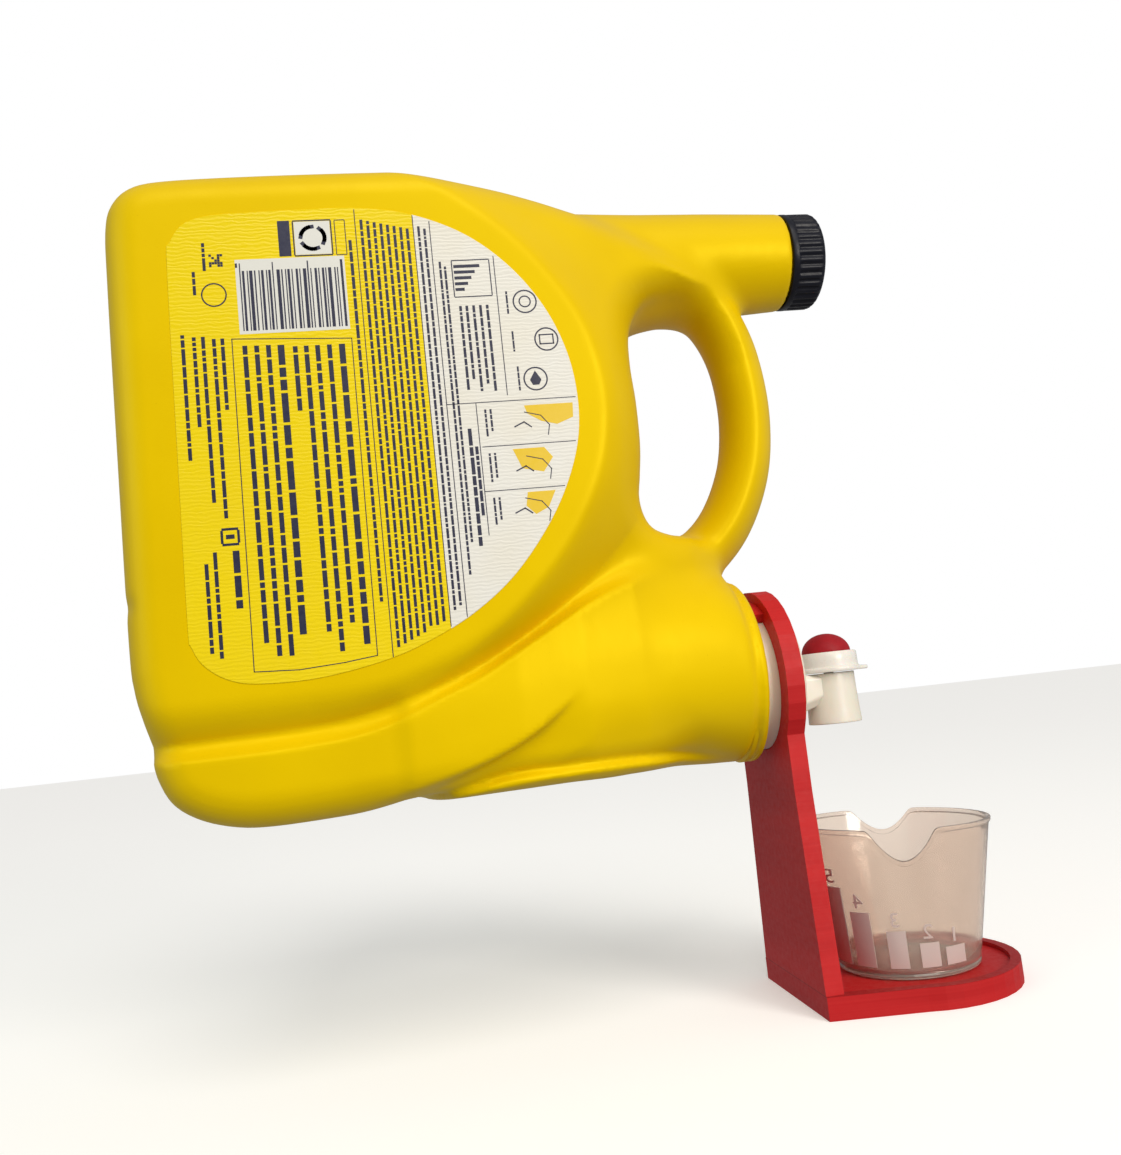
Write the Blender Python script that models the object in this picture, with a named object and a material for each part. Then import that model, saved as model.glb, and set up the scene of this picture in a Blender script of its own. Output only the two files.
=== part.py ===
"""Detergent dispenser bottle lying on its side, with press tap, fill cap, cup stand and dosing cup.

Frame: +X runs along the bottle from its base to its two necks, +Z up, and the wide sides face -Y and +Y.
The origin is in the middle of the flat underside that the bottle lies on.
Lengths below are in mm. X values count from the back face of the stand plate; place() moves them to the
origin.
"""
import math

import bmesh
import bpy

MM = 0.001
GAP = 0.3                  # clearance between pieces that touch
REST_X = -145.0            # middle of the underside

# heights of the two neck axes over the underside
TAP_Z = 34.6
FILL_Z = 225.2

# bottle body: (y, how far the outline is drawn in) from the flat panel to the widest outline
WALL = 1.8
BASE_X = -248.8
BODY_X = -48.0
BODY_TOP = 247.8
BODY_HALF = 62.6           # half of the thickness
BODY_CORNER = 20.0
PANEL_OUTLINE = [
    (-233.0, 36.0), (-233.0, 226.0), (-224.0, 235.5), (-190.0, 237.0), (-150.0, 236.5), (-128.0, 232.0),
    (-100.0, 216.0), (-80.0, 194.0), (-69.5, 166.0), (-68.5, 143.0), (-73.0, 121.0), (-88.0, 93.0),
    (-112.0, 68.0), (-140.0, 50.0), (-168.0, 40.0), (-200.0, 36.0),
]
EDGE_LEVELS = [(58.5, 5.5), (53.0, 1.6), (45.0, 0.0)]
TAP_SHOULDER_X = -11.0
TAP_SHOULDER_R = 37.6
FILL_SHOULDER_X = 2.0
FILL_SHOULDER_R = 23.4
FILL_COLLAR_R = 21.6
FILL_COLLAR_X = 34.0
FILL_NECK_R = 18.9
FILL_BORE_R = 16.6
FILL_NECK_X = 49.0
BEAD_R = 34.2
BEAD_X0 = -10.6
BEAD_X1 = -6.4
TAP_NECK_R = 27.1
TAP_BORE_R = 24.4
TAP_NECK_X = 5.0
GRIP_R = 11.6              # handle bar, in the X direction
GRIP_STRETCH = 1.32        # its width in Y over its width in X
GRIP_PATH = [
    (-34.0, 210.0), (-12.0, 206.0), (4.0, 194.0), (10.0, 174.0),
    (10.4, 150.0), (6.0, 126.0), (-6.0, 103.0), (-26.0, 86.0), (-44.0, 78.0),
]

# labels
LABEL_T = 0.3
LABEL_OUTLINE = [
    (-224.0, 48.0), (-224.0, 216.0), (-218.0, 224.5), (-200.0, 227.3), (-154.0, 227.8), (-134.0, 224.5),
    (-112.0, 215.0), (-92.0, 196.0), (-80.5, 173.0), (-77.0, 147.0), (-79.5, 129.0), (-89.0, 108.0),
    (-108.0, 82.0), (-134.0, 64.5), (-157.0, 55.5), (-181.0, 51.5), (-204.0, 51.0), (-218.0, 51.0),
]

# screw collar, gasket and tap
COLLAR_R = 30.0
COLLAR_IN_R = 27.4
COLLAR_X0 = -5.8
COLLAR_X1 = 12.0
COLLAR_FRONT_T = 2.4
COLLAR_HOLE_R = 19.0
TAP_FLANGE_R = 27.0
TAP_FLANGE_X0 = 6.2
TAP_FLANGE_X1 = 9.3
TAP_BOSS_R = 18.6
TAP_BOSS_X = 13.2
SPOUT_X = 34.0             # axis of the spout, the valve and the button
SPOUT_R = 11.4
SPOUT_BORE_R = 9.7
SPOUT_Z0 = TAP_Z - 22.3
SPOUT_Z1 = TAP_Z - 0.3
BARREL_R = 8.6
BARREL_Z = TAP_Z - 8.7
INLET_R = 4.4
INLET_Z = TAP_Z - 6.6
SEAT_Z0 = TAP_Z - 13.3
SEAT_Z1 = TAP_Z - 11.5
SEAT_R = 6.4
ROOF_T = 1.9
STEM_R = 2.2
STEM_HOLE_R = 2.5
STEM_HEAD_R = 4.6
SEAL_R = 8.4
SEAL_T = 1.8
FOOT_R = 4.2
FOOT_T = 1.4
RING_R = 13.2
RING_IN_R = 10.9
RING_Z1 = TAP_Z + 8.8
LIP_R = 14.3
LIP_T = 2.2
LIP_TIP_X = 49.4
DOME_R = 10.6
DOME_Z0 = TAP_Z + 4.4
DOME_STEP_Z = TAP_Z + 8.6
DOME_TOP = TAP_Z + 17.2
DOME_WALL = 1.5

# fill cap and its liner
CAP_R = 21.6
CAP_IN_R = 20.2
CAP_X0 = 36.2
CAP_X1 = 52.0
CAP_END_T = 1.6
LINER_T = 0.8
CAP_RIBS = 36

# cup stand
PLATE_T = 7.5
RING_OUT_R = 38.6
RING_HOLE_R = 30.3
NECK_HALF = 30.5
KINK_Z = TAP_Z - 46.5
FOOT_HALF = 36.0
STAND_Z0 = TAP_Z - 135.0
TRAY_T = 9.2
TRAY_FLOOR_T = 7.4
TRAY_X = 52.5
TRAY_R = 45.0
TRAY_RIM = 4.2
LUG_OUT_R = 34.5
LUG_X = -5.2
LUG_ANGLE = 38.0

# dosing cup
CUP_X = 52.5
CUP_Z0 = STAND_Z0 + TRAY_FLOOR_T + GAP
CUP_H = 62.8
CUP_BASE_R = 29.2
CUP_TOP_R = 42.4
CUP_WALL = 1.6
CUP_FLOOR = 1.8
NOTCH_DEPTH = 13.0
NOTCH_HALF = 11.0
NOTCH_ANGLE = 71.0

RED = (0.52, 0.025, 0.03, 1.0)
CREAM = (0.83, 0.77, 0.68, 1.0)
YELLOW = (0.79, 0.54, 0.0, 1.0)


def clear_scene():
    for item in list(bpy.data.objects):
        bpy.data.objects.remove(item, do_unlink=True)


def make_collection(name):
    group = bpy.data.collections.new(name)
    bpy.context.scene.collection.children.link(group)
    return group


def make_material(name, colour, roughness, alpha=1.0):
    mat = bpy.data.materials.new(name)
    mat.use_nodes = True
    shader = mat.node_tree.nodes["Principled BSDF"]
    shader.inputs["Base Color"].default_value = colour
    shader.inputs["Roughness"].default_value = roughness
    shader.inputs["Alpha"].default_value = alpha
    return mat


def place(point):
    x, y, z = point
    return ((x - REST_X) * MM, y * MM, z * MM)


def solid(name, rings, group, close=True):
    """A tube of equal rings, with flat ends unless it closes on itself."""
    mesh = bpy.data.meshes.new(name)
    bm = bmesh.new()
    rows = [[bm.verts.new(place(p)) for p in ring] for ring in rings]
    count = len(rows[0])
    pairs = list(zip(rows[:-1], rows[1:]))
    if not close:
        pairs.append((rows[-1], rows[0]))
    for low, high in pairs:
        for i in range(count):
            j = (i + 1) % count
            bm.faces.new((low[i], low[j], high[j], high[i]))
    if close:
        bm.faces.new(list(reversed(rows[0])))
        bm.faces.new(rows[-1])
    bmesh.ops.recalc_face_normals(bm, faces=bm.faces)
    bm.to_mesh(mesh)
    bm.free()
    item = bpy.data.objects.new(name, mesh)
    group.objects.link(item)
    return item


def circle(radius, steps, start=0.0):
    return [
        (radius * math.cos(start + 2 * math.pi * i / steps), radius * math.sin(start + 2 * math.pi * i / steps))
        for i in range(steps)
    ]


def turned_x(name, profile, z, group, steps=48):
    """A body turned about an axis along X at height z; profile is (x, radius), closed round a hollow."""
    rings = [[(x, r * a, z + r * b) for a, b in circle(1.0, steps)] for x, r in profile]
    return solid(name, rings, group, close=False)


def rod_x(name, x0, x1, radius, z, group, steps=48):
    rings = [[(x, a, z + b) for a, b in circle(radius, steps)] for x in (x0, x1)]
    return solid(name, rings, group)


def turned_z(name, profile, x, group, steps=40, close=False):
    """A body turned about an upright axis at x; profile is (radius, z)."""
    rings = [[(x + r * a, r * b, z) for a, b in circle(1.0, steps)] for r, z in profile]
    return solid(name, rings, group, close=close)


def rod_z(name, x, radius, z0, z1, group, steps=40):
    return turned_z(name, [(radius, z0), (radius, z1)], x, group, steps, close=True)


def hull(name, points, group):
    mesh = bpy.data.meshes.new(name)
    bm = bmesh.new()
    verts = [bm.verts.new(place(p)) for p in points]
    made = bmesh.ops.convex_hull(bm, input=verts)
    spare = [v for v in made["geom_interior"] if isinstance(v, bmesh.types.BMVert)]
    bmesh.ops.delete(bm, geom=spare, context="VERTS")
    bmesh.ops.recalc_face_normals(bm, faces=bm.faces)
    bm.to_mesh(mesh)
    bm.free()
    item = bpy.data.objects.new(name, mesh)
    group.objects.link(item)
    return item


def boolean(target, tool, operation):
    mod = target.modifiers.new(operation.lower(), "BOOLEAN")
    mod.operation = operation
    mod.solver = "EXACT"
    mod.object = tool
    tool.hide_render = True
    tool.display_type = "WIRE"


def rounded_outline(x0, x1, z0, z1, radius, steps=5):
    """Corner-rounded rectangle in X and Z."""
    points = []
    for cx, cz, start in ((x1, z1, 0.0), (x0, z1, 90.0), (x0, z0, 180.0), (x1, z0, 270.0)):
        mx = cx - radius if cx == x1 else cx + radius
        mz = cz - radius if cz == z1 else cz + radius
        for i in range(steps + 1):
            a = math.radians(start + 90.0 * i / steps)
            points.append((mx + radius * math.cos(a), mz + radius * math.sin(a)))
    return points


def wide_body(name, inset, group):
    """The wide body: flat D-shaped panels, rolled edges, and a right side that falls away to the handle."""
    points = []
    for side in (-1.0, 1.0):
        points += [(x, side * (BODY_HALF - inset), z) for x, z in PANEL_OUTLINE]
        for y, cut in EDGE_LEVELS:
            cut += inset
            outline = rounded_outline(BASE_X + cut, -150.0, cut, BODY_TOP - cut, BODY_CORNER - cut)
            points += [(x, side * (y - inset), z) for x, z in outline]
        low = rounded_outline(-200.0, BODY_X - inset, inset, 215.0 - inset, BODY_CORNER - inset)
        points += [(x, side * (38.0 - inset), z) for x, z in low]
        mid = rounded_outline(-200.0, BODY_X - 14.0 - inset, inset, 225.0 - inset, BODY_CORNER - inset)
        points += [(x, side * (50.0 - inset), z) for x, z in mid]
        points.append((-63.0 - inset, side * (30.0 - inset), BODY_TOP - 1.0 - inset))
    return hull(name, points, group)


def oval(x, half, z0, z1, power, steps=40, low=None):
    """Ring of a superellipse in Y and Z."""
    points = []
    for c, s in circle(1.0, steps):
        y = half * math.copysign(abs(c) ** (2.0 / power), c)
        z = 0.5 * (z0 + z1) + 0.5 * (z1 - z0) * math.copysign(abs(s) ** (2.0 / power), s)
        points.append((x, y, z if low is None else max(z, low)))
    return points


def tap_shoulder(name, inset, group):
    """Barrel that draws in from the body to the tap's neck."""
    base = oval(-84.0, 55.0 - inset, inset, 118.0 - inset, 3.0)
    mid = oval(-40.0, 47.0 - inset, inset, 98.0 - inset, 2.5)
    front_r = TAP_SHOULDER_R - inset
    front = [(TAP_SHOULDER_X - inset, a, TAP_SHOULDER_R + b) for a, b in circle(front_r, 40)]
    return hull(name, base + mid + front, group)


def fill_shoulder(name, inset, group):
    """Cone that draws in from the body to the fill neck."""
    top = FILL_Z + FILL_SHOULDER_R - 1.0 - inset
    base = oval(-128.0, 51.0 - inset, 170.0 + inset, top, 2.8)
    mid = oval(-63.0, 33.0 - inset, 192.0 + inset, top, 2.3)
    front_r = FILL_SHOULDER_R - inset
    front = [(FILL_SHOULDER_X, a, FILL_Z + b) for a, b in circle(front_r, 40)]
    last = [(FILL_COLLAR_X - inset, a, FILL_Z + b) for a, b in circle(FILL_COLLAR_R - inset, 40)]
    return hull(name, base + mid + front + last, group)


def grip(name, inset, group):
    """Handle bar swept along its path."""
    curve = bpy.data.curves.new(name, "CURVE")
    curve.dimensions = "3D"
    curve.bevel_depth = (GRIP_R - inset) * MM
    curve.bevel_resolution = 3
    curve.use_fill_caps = True
    curve.resolution_u = 2
    spline = curve.splines.new("NURBS")
    spline.points.add(len(GRIP_PATH) - 1)
    for point, (x, z) in zip(spline.points, GRIP_PATH):
        point.co = (*place((x, 0.0, z)), 1.0)
    spline.use_endpoint_u = True
    spline.order_u = 4
    temp = bpy.data.objects.new(name + "_path", curve)
    group.objects.link(temp)
    depsgraph = bpy.context.evaluated_depsgraph_get()
    mesh = bpy.data.meshes.new_from_object(temp.evaluated_get(depsgraph))
    bpy.data.objects.remove(temp, do_unlink=True)
    for vertex in mesh.vertices:
        vertex.co.y *= GRIP_STRETCH
    bm = bmesh.new()
    bm.from_mesh(mesh)
    bmesh.ops.remove_doubles(bm, verts=bm.verts, dist=0.00002)
    bmesh.ops.recalc_face_normals(bm, faces=bm.faces)
    bm.to_mesh(mesh)
    bm.free()
    item = bpy.data.objects.new(name, mesh)
    group.objects.link(item)
    return item


def bottle_shell(group, tools):
    """One blow-moulded wall: body, shoulders, hollow handle and both necks."""
    body = wide_body("bottle_shell", 0.0, group)
    boolean(body, tap_shoulder("shoulder_out", 0.0, tools), "UNION")
    boolean(body, fill_shoulder("fill_out", 0.0, tools), "UNION")
    boolean(body, grip("grip_out", 0.0, tools), "UNION")
    bead = rod_x("bead_out", BEAD_X0 - 4.0, BEAD_X1, BEAD_R, TAP_Z, tools)
    boolean(body, bead, "UNION")
    boolean(body, rod_x("tap_neck_out", BEAD_X0, TAP_NECK_X, TAP_NECK_R, TAP_Z, tools), "UNION")
    boolean(body, rod_x("fill_neck_out", 20.0, FILL_NECK_X, FILL_NECK_R, FILL_Z, tools), "UNION")
    boolean(body, wide_body("body_in", WALL, tools), "DIFFERENCE")
    boolean(body, tap_shoulder("shoulder_in", WALL, tools), "DIFFERENCE")
    boolean(body, fill_shoulder("fill_in", WALL, tools), "DIFFERENCE")
    boolean(body, grip("grip_in", WALL, tools), "DIFFERENCE")
    boolean(body, rod_x("tap_bore", -30.0, 20.0, TAP_BORE_R, TAP_Z, tools), "DIFFERENCE")
    boolean(body, rod_x("fill_bore", 0.0, 70.0, FILL_BORE_R, FILL_Z, tools), "DIFFERENCE")
    return body


def label(name, side, group):
    """Film label lying on one wide side."""
    near = side * (BODY_HALF + 0.2)
    far = side * (BODY_HALF + 0.2 + LABEL_T)
    rings = [[(x, y, z) for x, z in LABEL_OUTLINE] for y in (near, far)]
    return solid(name, rings, group)


def tap_collar(group):
    """Screw collar that clamps the tap to the neck."""
    front = COLLAR_X1 - COLLAR_FRONT_T
    profile = [
        (COLLAR_X0, COLLAR_R), (COLLAR_X1 - 1.6, COLLAR_R), (COLLAR_X1 - 0.5, COLLAR_R - 0.5),
        (COLLAR_X1, COLLAR_R - 1.6), (COLLAR_X1, COLLAR_HOLE_R), (front, COLLAR_HOLE_R),
        (front, COLLAR_IN_R), (COLLAR_X0, COLLAR_IN_R),
    ]
    return turned_x("tap_collar", profile, TAP_Z, group, 64)


def collar_gasket(group):
    x0 = TAP_NECK_X + GAP
    x1 = TAP_FLANGE_X0 - GAP
    profile = [(x0, TAP_NECK_R), (x1, TAP_NECK_R), (x1, TAP_BORE_R), (x0, TAP_BORE_R)]
    return turned_x("collar_gasket", profile, TAP_Z, group, 48)


def tap_body(group, tools):
    """Flange, barrel and spout of the tap, with inlet, valve seat and roof."""
    body = rod_x("tap_body", TAP_FLANGE_X0, TAP_FLANGE_X1, TAP_FLANGE_R, TAP_Z, group)
    boolean(body, rod_x("boss", TAP_FLANGE_X1 - 1.0, TAP_BOSS_X, TAP_BOSS_R, TAP_Z, tools), "UNION")
    barrel = rod_x("barrel", TAP_BOSS_X - 1.0, SPOUT_X, BARREL_R, BARREL_Z, tools, 24)
    boolean(body, barrel, "UNION")
    boolean(body, rod_z("spout", SPOUT_X, SPOUT_R, SPOUT_Z0, SPOUT_Z1, tools), "UNION")
    outlet = rod_z("outlet", SPOUT_X, SPOUT_BORE_R, SPOUT_Z0 - 5.0, SEAT_Z0, tools)
    boolean(body, outlet, "DIFFERENCE")
    chamber = rod_z("chamber", SPOUT_X, SPOUT_BORE_R, SEAT_Z1, SPOUT_Z1 - ROOF_T, tools)
    boolean(body, chamber, "DIFFERENCE")
    boolean(body, rod_z("seat_hole", SPOUT_X, SEAT_R, SEAT_Z0 - 1.0, SEAT_Z1 + 1.0, tools), "DIFFERENCE")
    stem_hole = rod_z("stem_hole", SPOUT_X, STEM_HOLE_R, SEAT_Z1, SPOUT_Z1 + 2.0, tools, 24)
    boolean(body, stem_hole, "DIFFERENCE")
    inlet = rod_x("inlet", TAP_FLANGE_X0 - 2.0, SPOUT_X, INLET_R, INLET_Z, tools, 24)
    boolean(body, inlet, "DIFFERENCE")
    return body


def valve_stem(group):
    """Plunger: head under the button, rod through the roof and seat, foot below the seal."""
    head = DOME_TOP - DOME_WALL - 1.9
    seal_low = SEAT_Z0 - GAP - SEAL_T
    foot = seal_low - GAP
    profile = [
        (0.05, foot - FOOT_T), (FOOT_R, foot - FOOT_T), (FOOT_R, foot), (STEM_R, foot),
        (STEM_R, head - 1.6), (STEM_HEAD_R, head - 1.6), (STEM_HEAD_R, head), (0.05, head),
    ]
    return turned_z("valve_stem", profile, SPOUT_X, group, 32, close=True)


def valve_seal(group):
    high = SEAT_Z0 - GAP
    low = high - SEAL_T
    hole = STEM_R + GAP
    profile = [(hole, low), (SEAL_R, low), (SEAL_R, high - 0.7), (SEAL_R - 1.2, high), (hole, high)]
    return turned_z("valve_seal", profile, SPOUT_X, group, 32)


def button_ring(group, tools):
    """Ring that holds the button, with a finger lip out to the front."""
    z0 = SPOUT_Z1 + GAP
    profile = [
        (RING_IN_R, z0), (LIP_R, z0), (LIP_R, z0 + LIP_T - 0.8), (RING_R, z0 + LIP_T + 0.6),
        (RING_R, RING_Z1 - 0.6), (RING_R - 0.6, RING_Z1), (RING_IN_R, RING_Z1),
    ]
    ring = turned_z("button_ring", profile, SPOUT_X, group, 48)
    points = []
    for a, b in circle(1.0, 40):
        if a > 0.35:
            points.append((SPOUT_X + 12.6 * a, 12.6 * b, z0 + 0.3))
            points.append((SPOUT_X + 12.6 * a, 12.6 * b, z0 + 2.0))
    for y in (-7.0, 7.0):
        points.append((LIP_TIP_X - 0.6, y, z0 + 0.5))
        points.append((LIP_TIP_X - 0.6, y, z0 + 1.7))
    points.append((LIP_TIP_X, 0.0, z0 + 0.5))
    points.append((LIP_TIP_X, 0.0, z0 + 1.7))
    lip = hull("lip", points, tools)
    boolean(ring, lip, "UNION")
    bore = rod_z("ring_bore", SPOUT_X, RING_IN_R, z0 - 2.0, RING_Z1 + 2.0, tools, 48)
    boolean(ring, bore, "DIFFERENCE")
    return ring


def button_dome(group):
    """Press button: short skirt inside the ring and a domed crown, open below."""
    height = DOME_TOP - DOME_STEP_Z
    outer = [(DOME_R, DOME_Z0), (DOME_R, DOME_STEP_Z)]
    for angle in (15, 30, 45, 60, 75):
        a = math.radians(angle)
        outer.append((DOME_R * math.cos(a), DOME_STEP_Z + height * math.sin(a)))
    inner = []
    for r, z in outer[1:]:
        inner.append((r * (DOME_R - DOME_WALL) / DOME_R, DOME_STEP_Z + (z - DOME_STEP_Z) * 0.825))
    rim = [(DOME_R - DOME_WALL, DOME_Z0)]
    profile = rim + outer + [(0.05, DOME_TOP)]
    inside = [(0.05, DOME_TOP - DOME_WALL)] + list(reversed(inner))
    return turned_z("button_dome", profile + inside, SPOUT_X, group, 40)


def vent_cap(group, tools):
    """Fill cap with a smooth band and axial grip ribs."""
    inner_end = CAP_X1 - CAP_END_T
    band = CAP_X0 + 2.6
    rings = []
    steps = CAP_RIBS * 2
    outer = [
        (CAP_X0, CAP_R, 0.0), (band, CAP_R, 0.0), (band + 0.1, CAP_R, 0.45),
        (CAP_X1 - 2.4, CAP_R, 0.45), (CAP_X1 - 0.7, CAP_R - 0.8, 0.3), (CAP_X1, CAP_R - 2.8, 0.0),
    ]
    for x, radius, groove in outer:
        ring = []
        for i, (a, b) in enumerate(circle(1.0, steps)):
            r = radius - (groove if i % 2 else 0.0)
            ring.append((x, r * a, FILL_Z + r * b))
        rings.append(ring)
    cap = solid("vent_cap", rings, group)
    boolean(cap, rod_x("cap_bore", CAP_X0 - 3.0, inner_end, CAP_IN_R, FILL_Z, tools, 72), "DIFFERENCE")
    return cap


def vent_cap_liner(group):
    x0 = FILL_NECK_X + GAP
    return rod_x("vent_cap_liner", x0, x0 + LINER_T, FILL_NECK_R + 0.6, FILL_Z, group, 48)


def tray_outline(radius, half):
    """D shape: from the plate out to a round front."""
    points = [(0.0, -half)]
    for i in range(0, 25):
        a = math.radians(-108.0 + 216.0 * i / 24)
        points.append((TRAY_X + radius * math.cos(a), radius * math.sin(a)))
    points.append((0.0, half))
    return points


def cup_stand(group, tools):
    """Ring round the collar, upright plate and shallow tray, in one piece."""
    sides = []
    start = math.asin(NECK_HALF / RING_OUT_R)
    for i in range(25):
        a = start + (2 * math.pi - 2 * start) * i / 24
        sides.append((RING_OUT_R * math.sin(a), TAP_Z - RING_OUT_R * math.cos(a)))
    sides += [(-NECK_HALF, KINK_Z), (-FOOT_HALF, STAND_Z0), (FOOT_HALF, STAND_Z0), (NECK_HALF, KINK_Z)]
    stand = solid("cup_stand", [[(x, y, z) for y, z in sides] for x in (0.0, PLATE_T)], group)
    outline = tray_outline(TRAY_R, FOOT_HALF)
    tray = solid("tray", [[(x, y, z) for x, y in outline] for z in (STAND_Z0, STAND_Z0 + TRAY_T)], tools)
    boolean(stand, tray, "UNION")
    inner = [(max(x, PLATE_T), y) for x, y in tray_outline(TRAY_R - TRAY_RIM, FOOT_HALF - TRAY_RIM)]
    levels = (STAND_Z0 + TRAY_FLOOR_T, STAND_Z0 + TRAY_T + 4.0)
    well = solid("well", [[(x, y, z) for x, y in inner] for z in levels], tools)
    boolean(stand, well, "DIFFERENCE")
    lug = []
    for x in (LUG_X, 1.0):
        ring = []
        for i in range(9):
            a = math.radians(-LUG_ANGLE + 2 * LUG_ANGLE * i / 8)
            ring.append((x, LUG_OUT_R * math.sin(a), TAP_Z + LUG_OUT_R * math.cos(a)))
        for i in range(8, -1, -1):
            a = math.radians(-LUG_ANGLE + 2 * LUG_ANGLE * i / 8)
            ring.append((x, 27.0 * math.sin(a), TAP_Z + 27.0 * math.cos(a)))
        lug.append(ring)
    boolean(stand, solid("saddle", lug, tools), "UNION")
    boolean(stand, rod_x("ring_hole", LUG_X - 3.0, PLATE_T + 3.0, RING_HOLE_R, TAP_Z, tools, 64), "DIFFERENCE")
    return stand


def dosing_cup(group, tools):
    """Open tapered cup with two pouring notches in its rim."""
    top = CUP_Z0 + CUP_H
    profile = [
        (CUP_BASE_R - CUP_WALL, CUP_Z0 + CUP_FLOOR), (CUP_TOP_R - 0.5 - CUP_WALL, top),
        (CUP_TOP_R, top), (CUP_TOP_R, top - 2.0), (CUP_TOP_R - 0.8, top - 2.2),
        (CUP_BASE_R, CUP_Z0 + 1.0), (CUP_BASE_R - 1.0, CUP_Z0), (0.05, CUP_Z0), (0.05, CUP_Z0 + CUP_FLOOR),
    ]
    cup = turned_z("dosing_cup", profile, CUP_X, group, 64)
    outline = []
    for i in range(9):
        a = math.radians(180.0 + 180.0 * i / 8)
        outline.append((NOTCH_HALF * 0.72 * math.cos(a), top - 3.6 + (NOTCH_DEPTH - 3.6) * math.sin(a)))
    outline += [(NOTCH_HALF, top + 0.2), (NOTCH_HALF, top + 5.0), (-NOTCH_HALF, top + 5.0), (-NOTCH_HALF, top + 0.2)]
    turn = math.radians(NOTCH_ANGLE)
    rings = []
    for reach in (-60.0, 60.0):
        ring = []
        for s, z in outline:
            x = reach * math.cos(turn) - s * math.sin(turn)
            y = reach * math.sin(turn) + s * math.cos(turn)
            ring.append((CUP_X + x, y, z))
        rings.append(ring)
    boolean(cup, solid("notch", rings, tools), "DIFFERENCE")
    return cup


def finish(item, mat):
    item.data.materials.clear()
    item.data.materials.append(mat)


def main():
    clear_scene()
    group = make_collection("detergent_dispenser_bottle")
    tools = make_collection("tools")
    tools.hide_render = True
    white = (0.82, 0.80, 0.75, 1.0)
    dark = (0.012, 0.012, 0.03, 1.0)
    finish(bottle_shell(group, tools), make_material("bottle_yellow", YELLOW, 0.38))
    finish(label("front_label", -1, group), make_material("front_film", white, 0.35))
    finish(label("rear_label", 1, group), make_material("rear_film", white, 0.35))
    finish(tap_collar(group), make_material("collar_cream", CREAM, 0.42))
    finish(collar_gasket(group), make_material("gasket_grey", (0.35, 0.35, 0.35, 1.0), 0.7))
    finish(tap_body(group, tools), make_material("tap_cream", CREAM, 0.4))
    finish(valve_stem(group), make_material("stem_white", white, 0.4))
    finish(valve_seal(group), make_material("seal_black", (0.02, 0.02, 0.02, 1.0), 0.8))
    finish(button_ring(group, tools), make_material("ring_white", CREAM, 0.35))
    finish(button_dome(group), make_material("button_red", (0.30, 0.01, 0.02, 1.0), 0.55))
    finish(vent_cap(group, tools), make_material("cap_navy", dark, 0.4))
    finish(vent_cap_liner(group), make_material("liner_white", (0.7, 0.7, 0.68, 1.0), 0.7))
    finish(cup_stand(group, tools), make_material("stand_red", RED, 0.6))
    finish(dosing_cup(group, tools), make_material("cup_clear", (0.86, 0.80, 0.78, 1.0), 0.12, 0.35))


main()
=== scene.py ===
import math

import bmesh
import bpy
import numpy as np
from mathutils import Matrix, Vector


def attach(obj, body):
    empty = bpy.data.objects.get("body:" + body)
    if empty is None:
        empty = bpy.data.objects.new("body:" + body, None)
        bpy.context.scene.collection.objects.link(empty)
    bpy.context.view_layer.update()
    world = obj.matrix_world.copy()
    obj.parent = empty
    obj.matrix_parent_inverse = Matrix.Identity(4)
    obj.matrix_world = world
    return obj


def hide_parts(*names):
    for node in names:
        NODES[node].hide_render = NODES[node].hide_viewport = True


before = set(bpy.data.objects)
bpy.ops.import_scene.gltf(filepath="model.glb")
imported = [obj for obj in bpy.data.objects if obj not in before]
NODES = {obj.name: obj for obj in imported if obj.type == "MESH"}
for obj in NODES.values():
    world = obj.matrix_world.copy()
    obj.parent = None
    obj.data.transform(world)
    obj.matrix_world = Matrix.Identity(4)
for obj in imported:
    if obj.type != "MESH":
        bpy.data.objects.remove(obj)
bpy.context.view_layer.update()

# Lengths are in mm. X counts from the back face of the stand plate, Z from the surface the bottle lies on.
MM = 0.001
REST_X = -145.0  # origin of the frame
TAP_Z = 34.6  # axis of the tap neck
SPOUT_X = 34.0  # axis of the spout and the button
FILL_Z = 225.2  # axis of the fill neck
STAND_Z0 = TAP_Z - 135.0  # underside of the tray
TRAY_T = 9.2
GRID = 1.5  # spacing of the body mesh
CELL = 0.5  # spacing of the side-view maps
SHARP_NEW, SHARP_FRAME = math.radians(38), math.radians(35)


def place(points):
    """Working points in mm to the frame, in metres."""
    return (np.asarray(points, float) - np.array([REST_X, 0.0, 0.0])) * MM


# ---- materials


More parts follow.
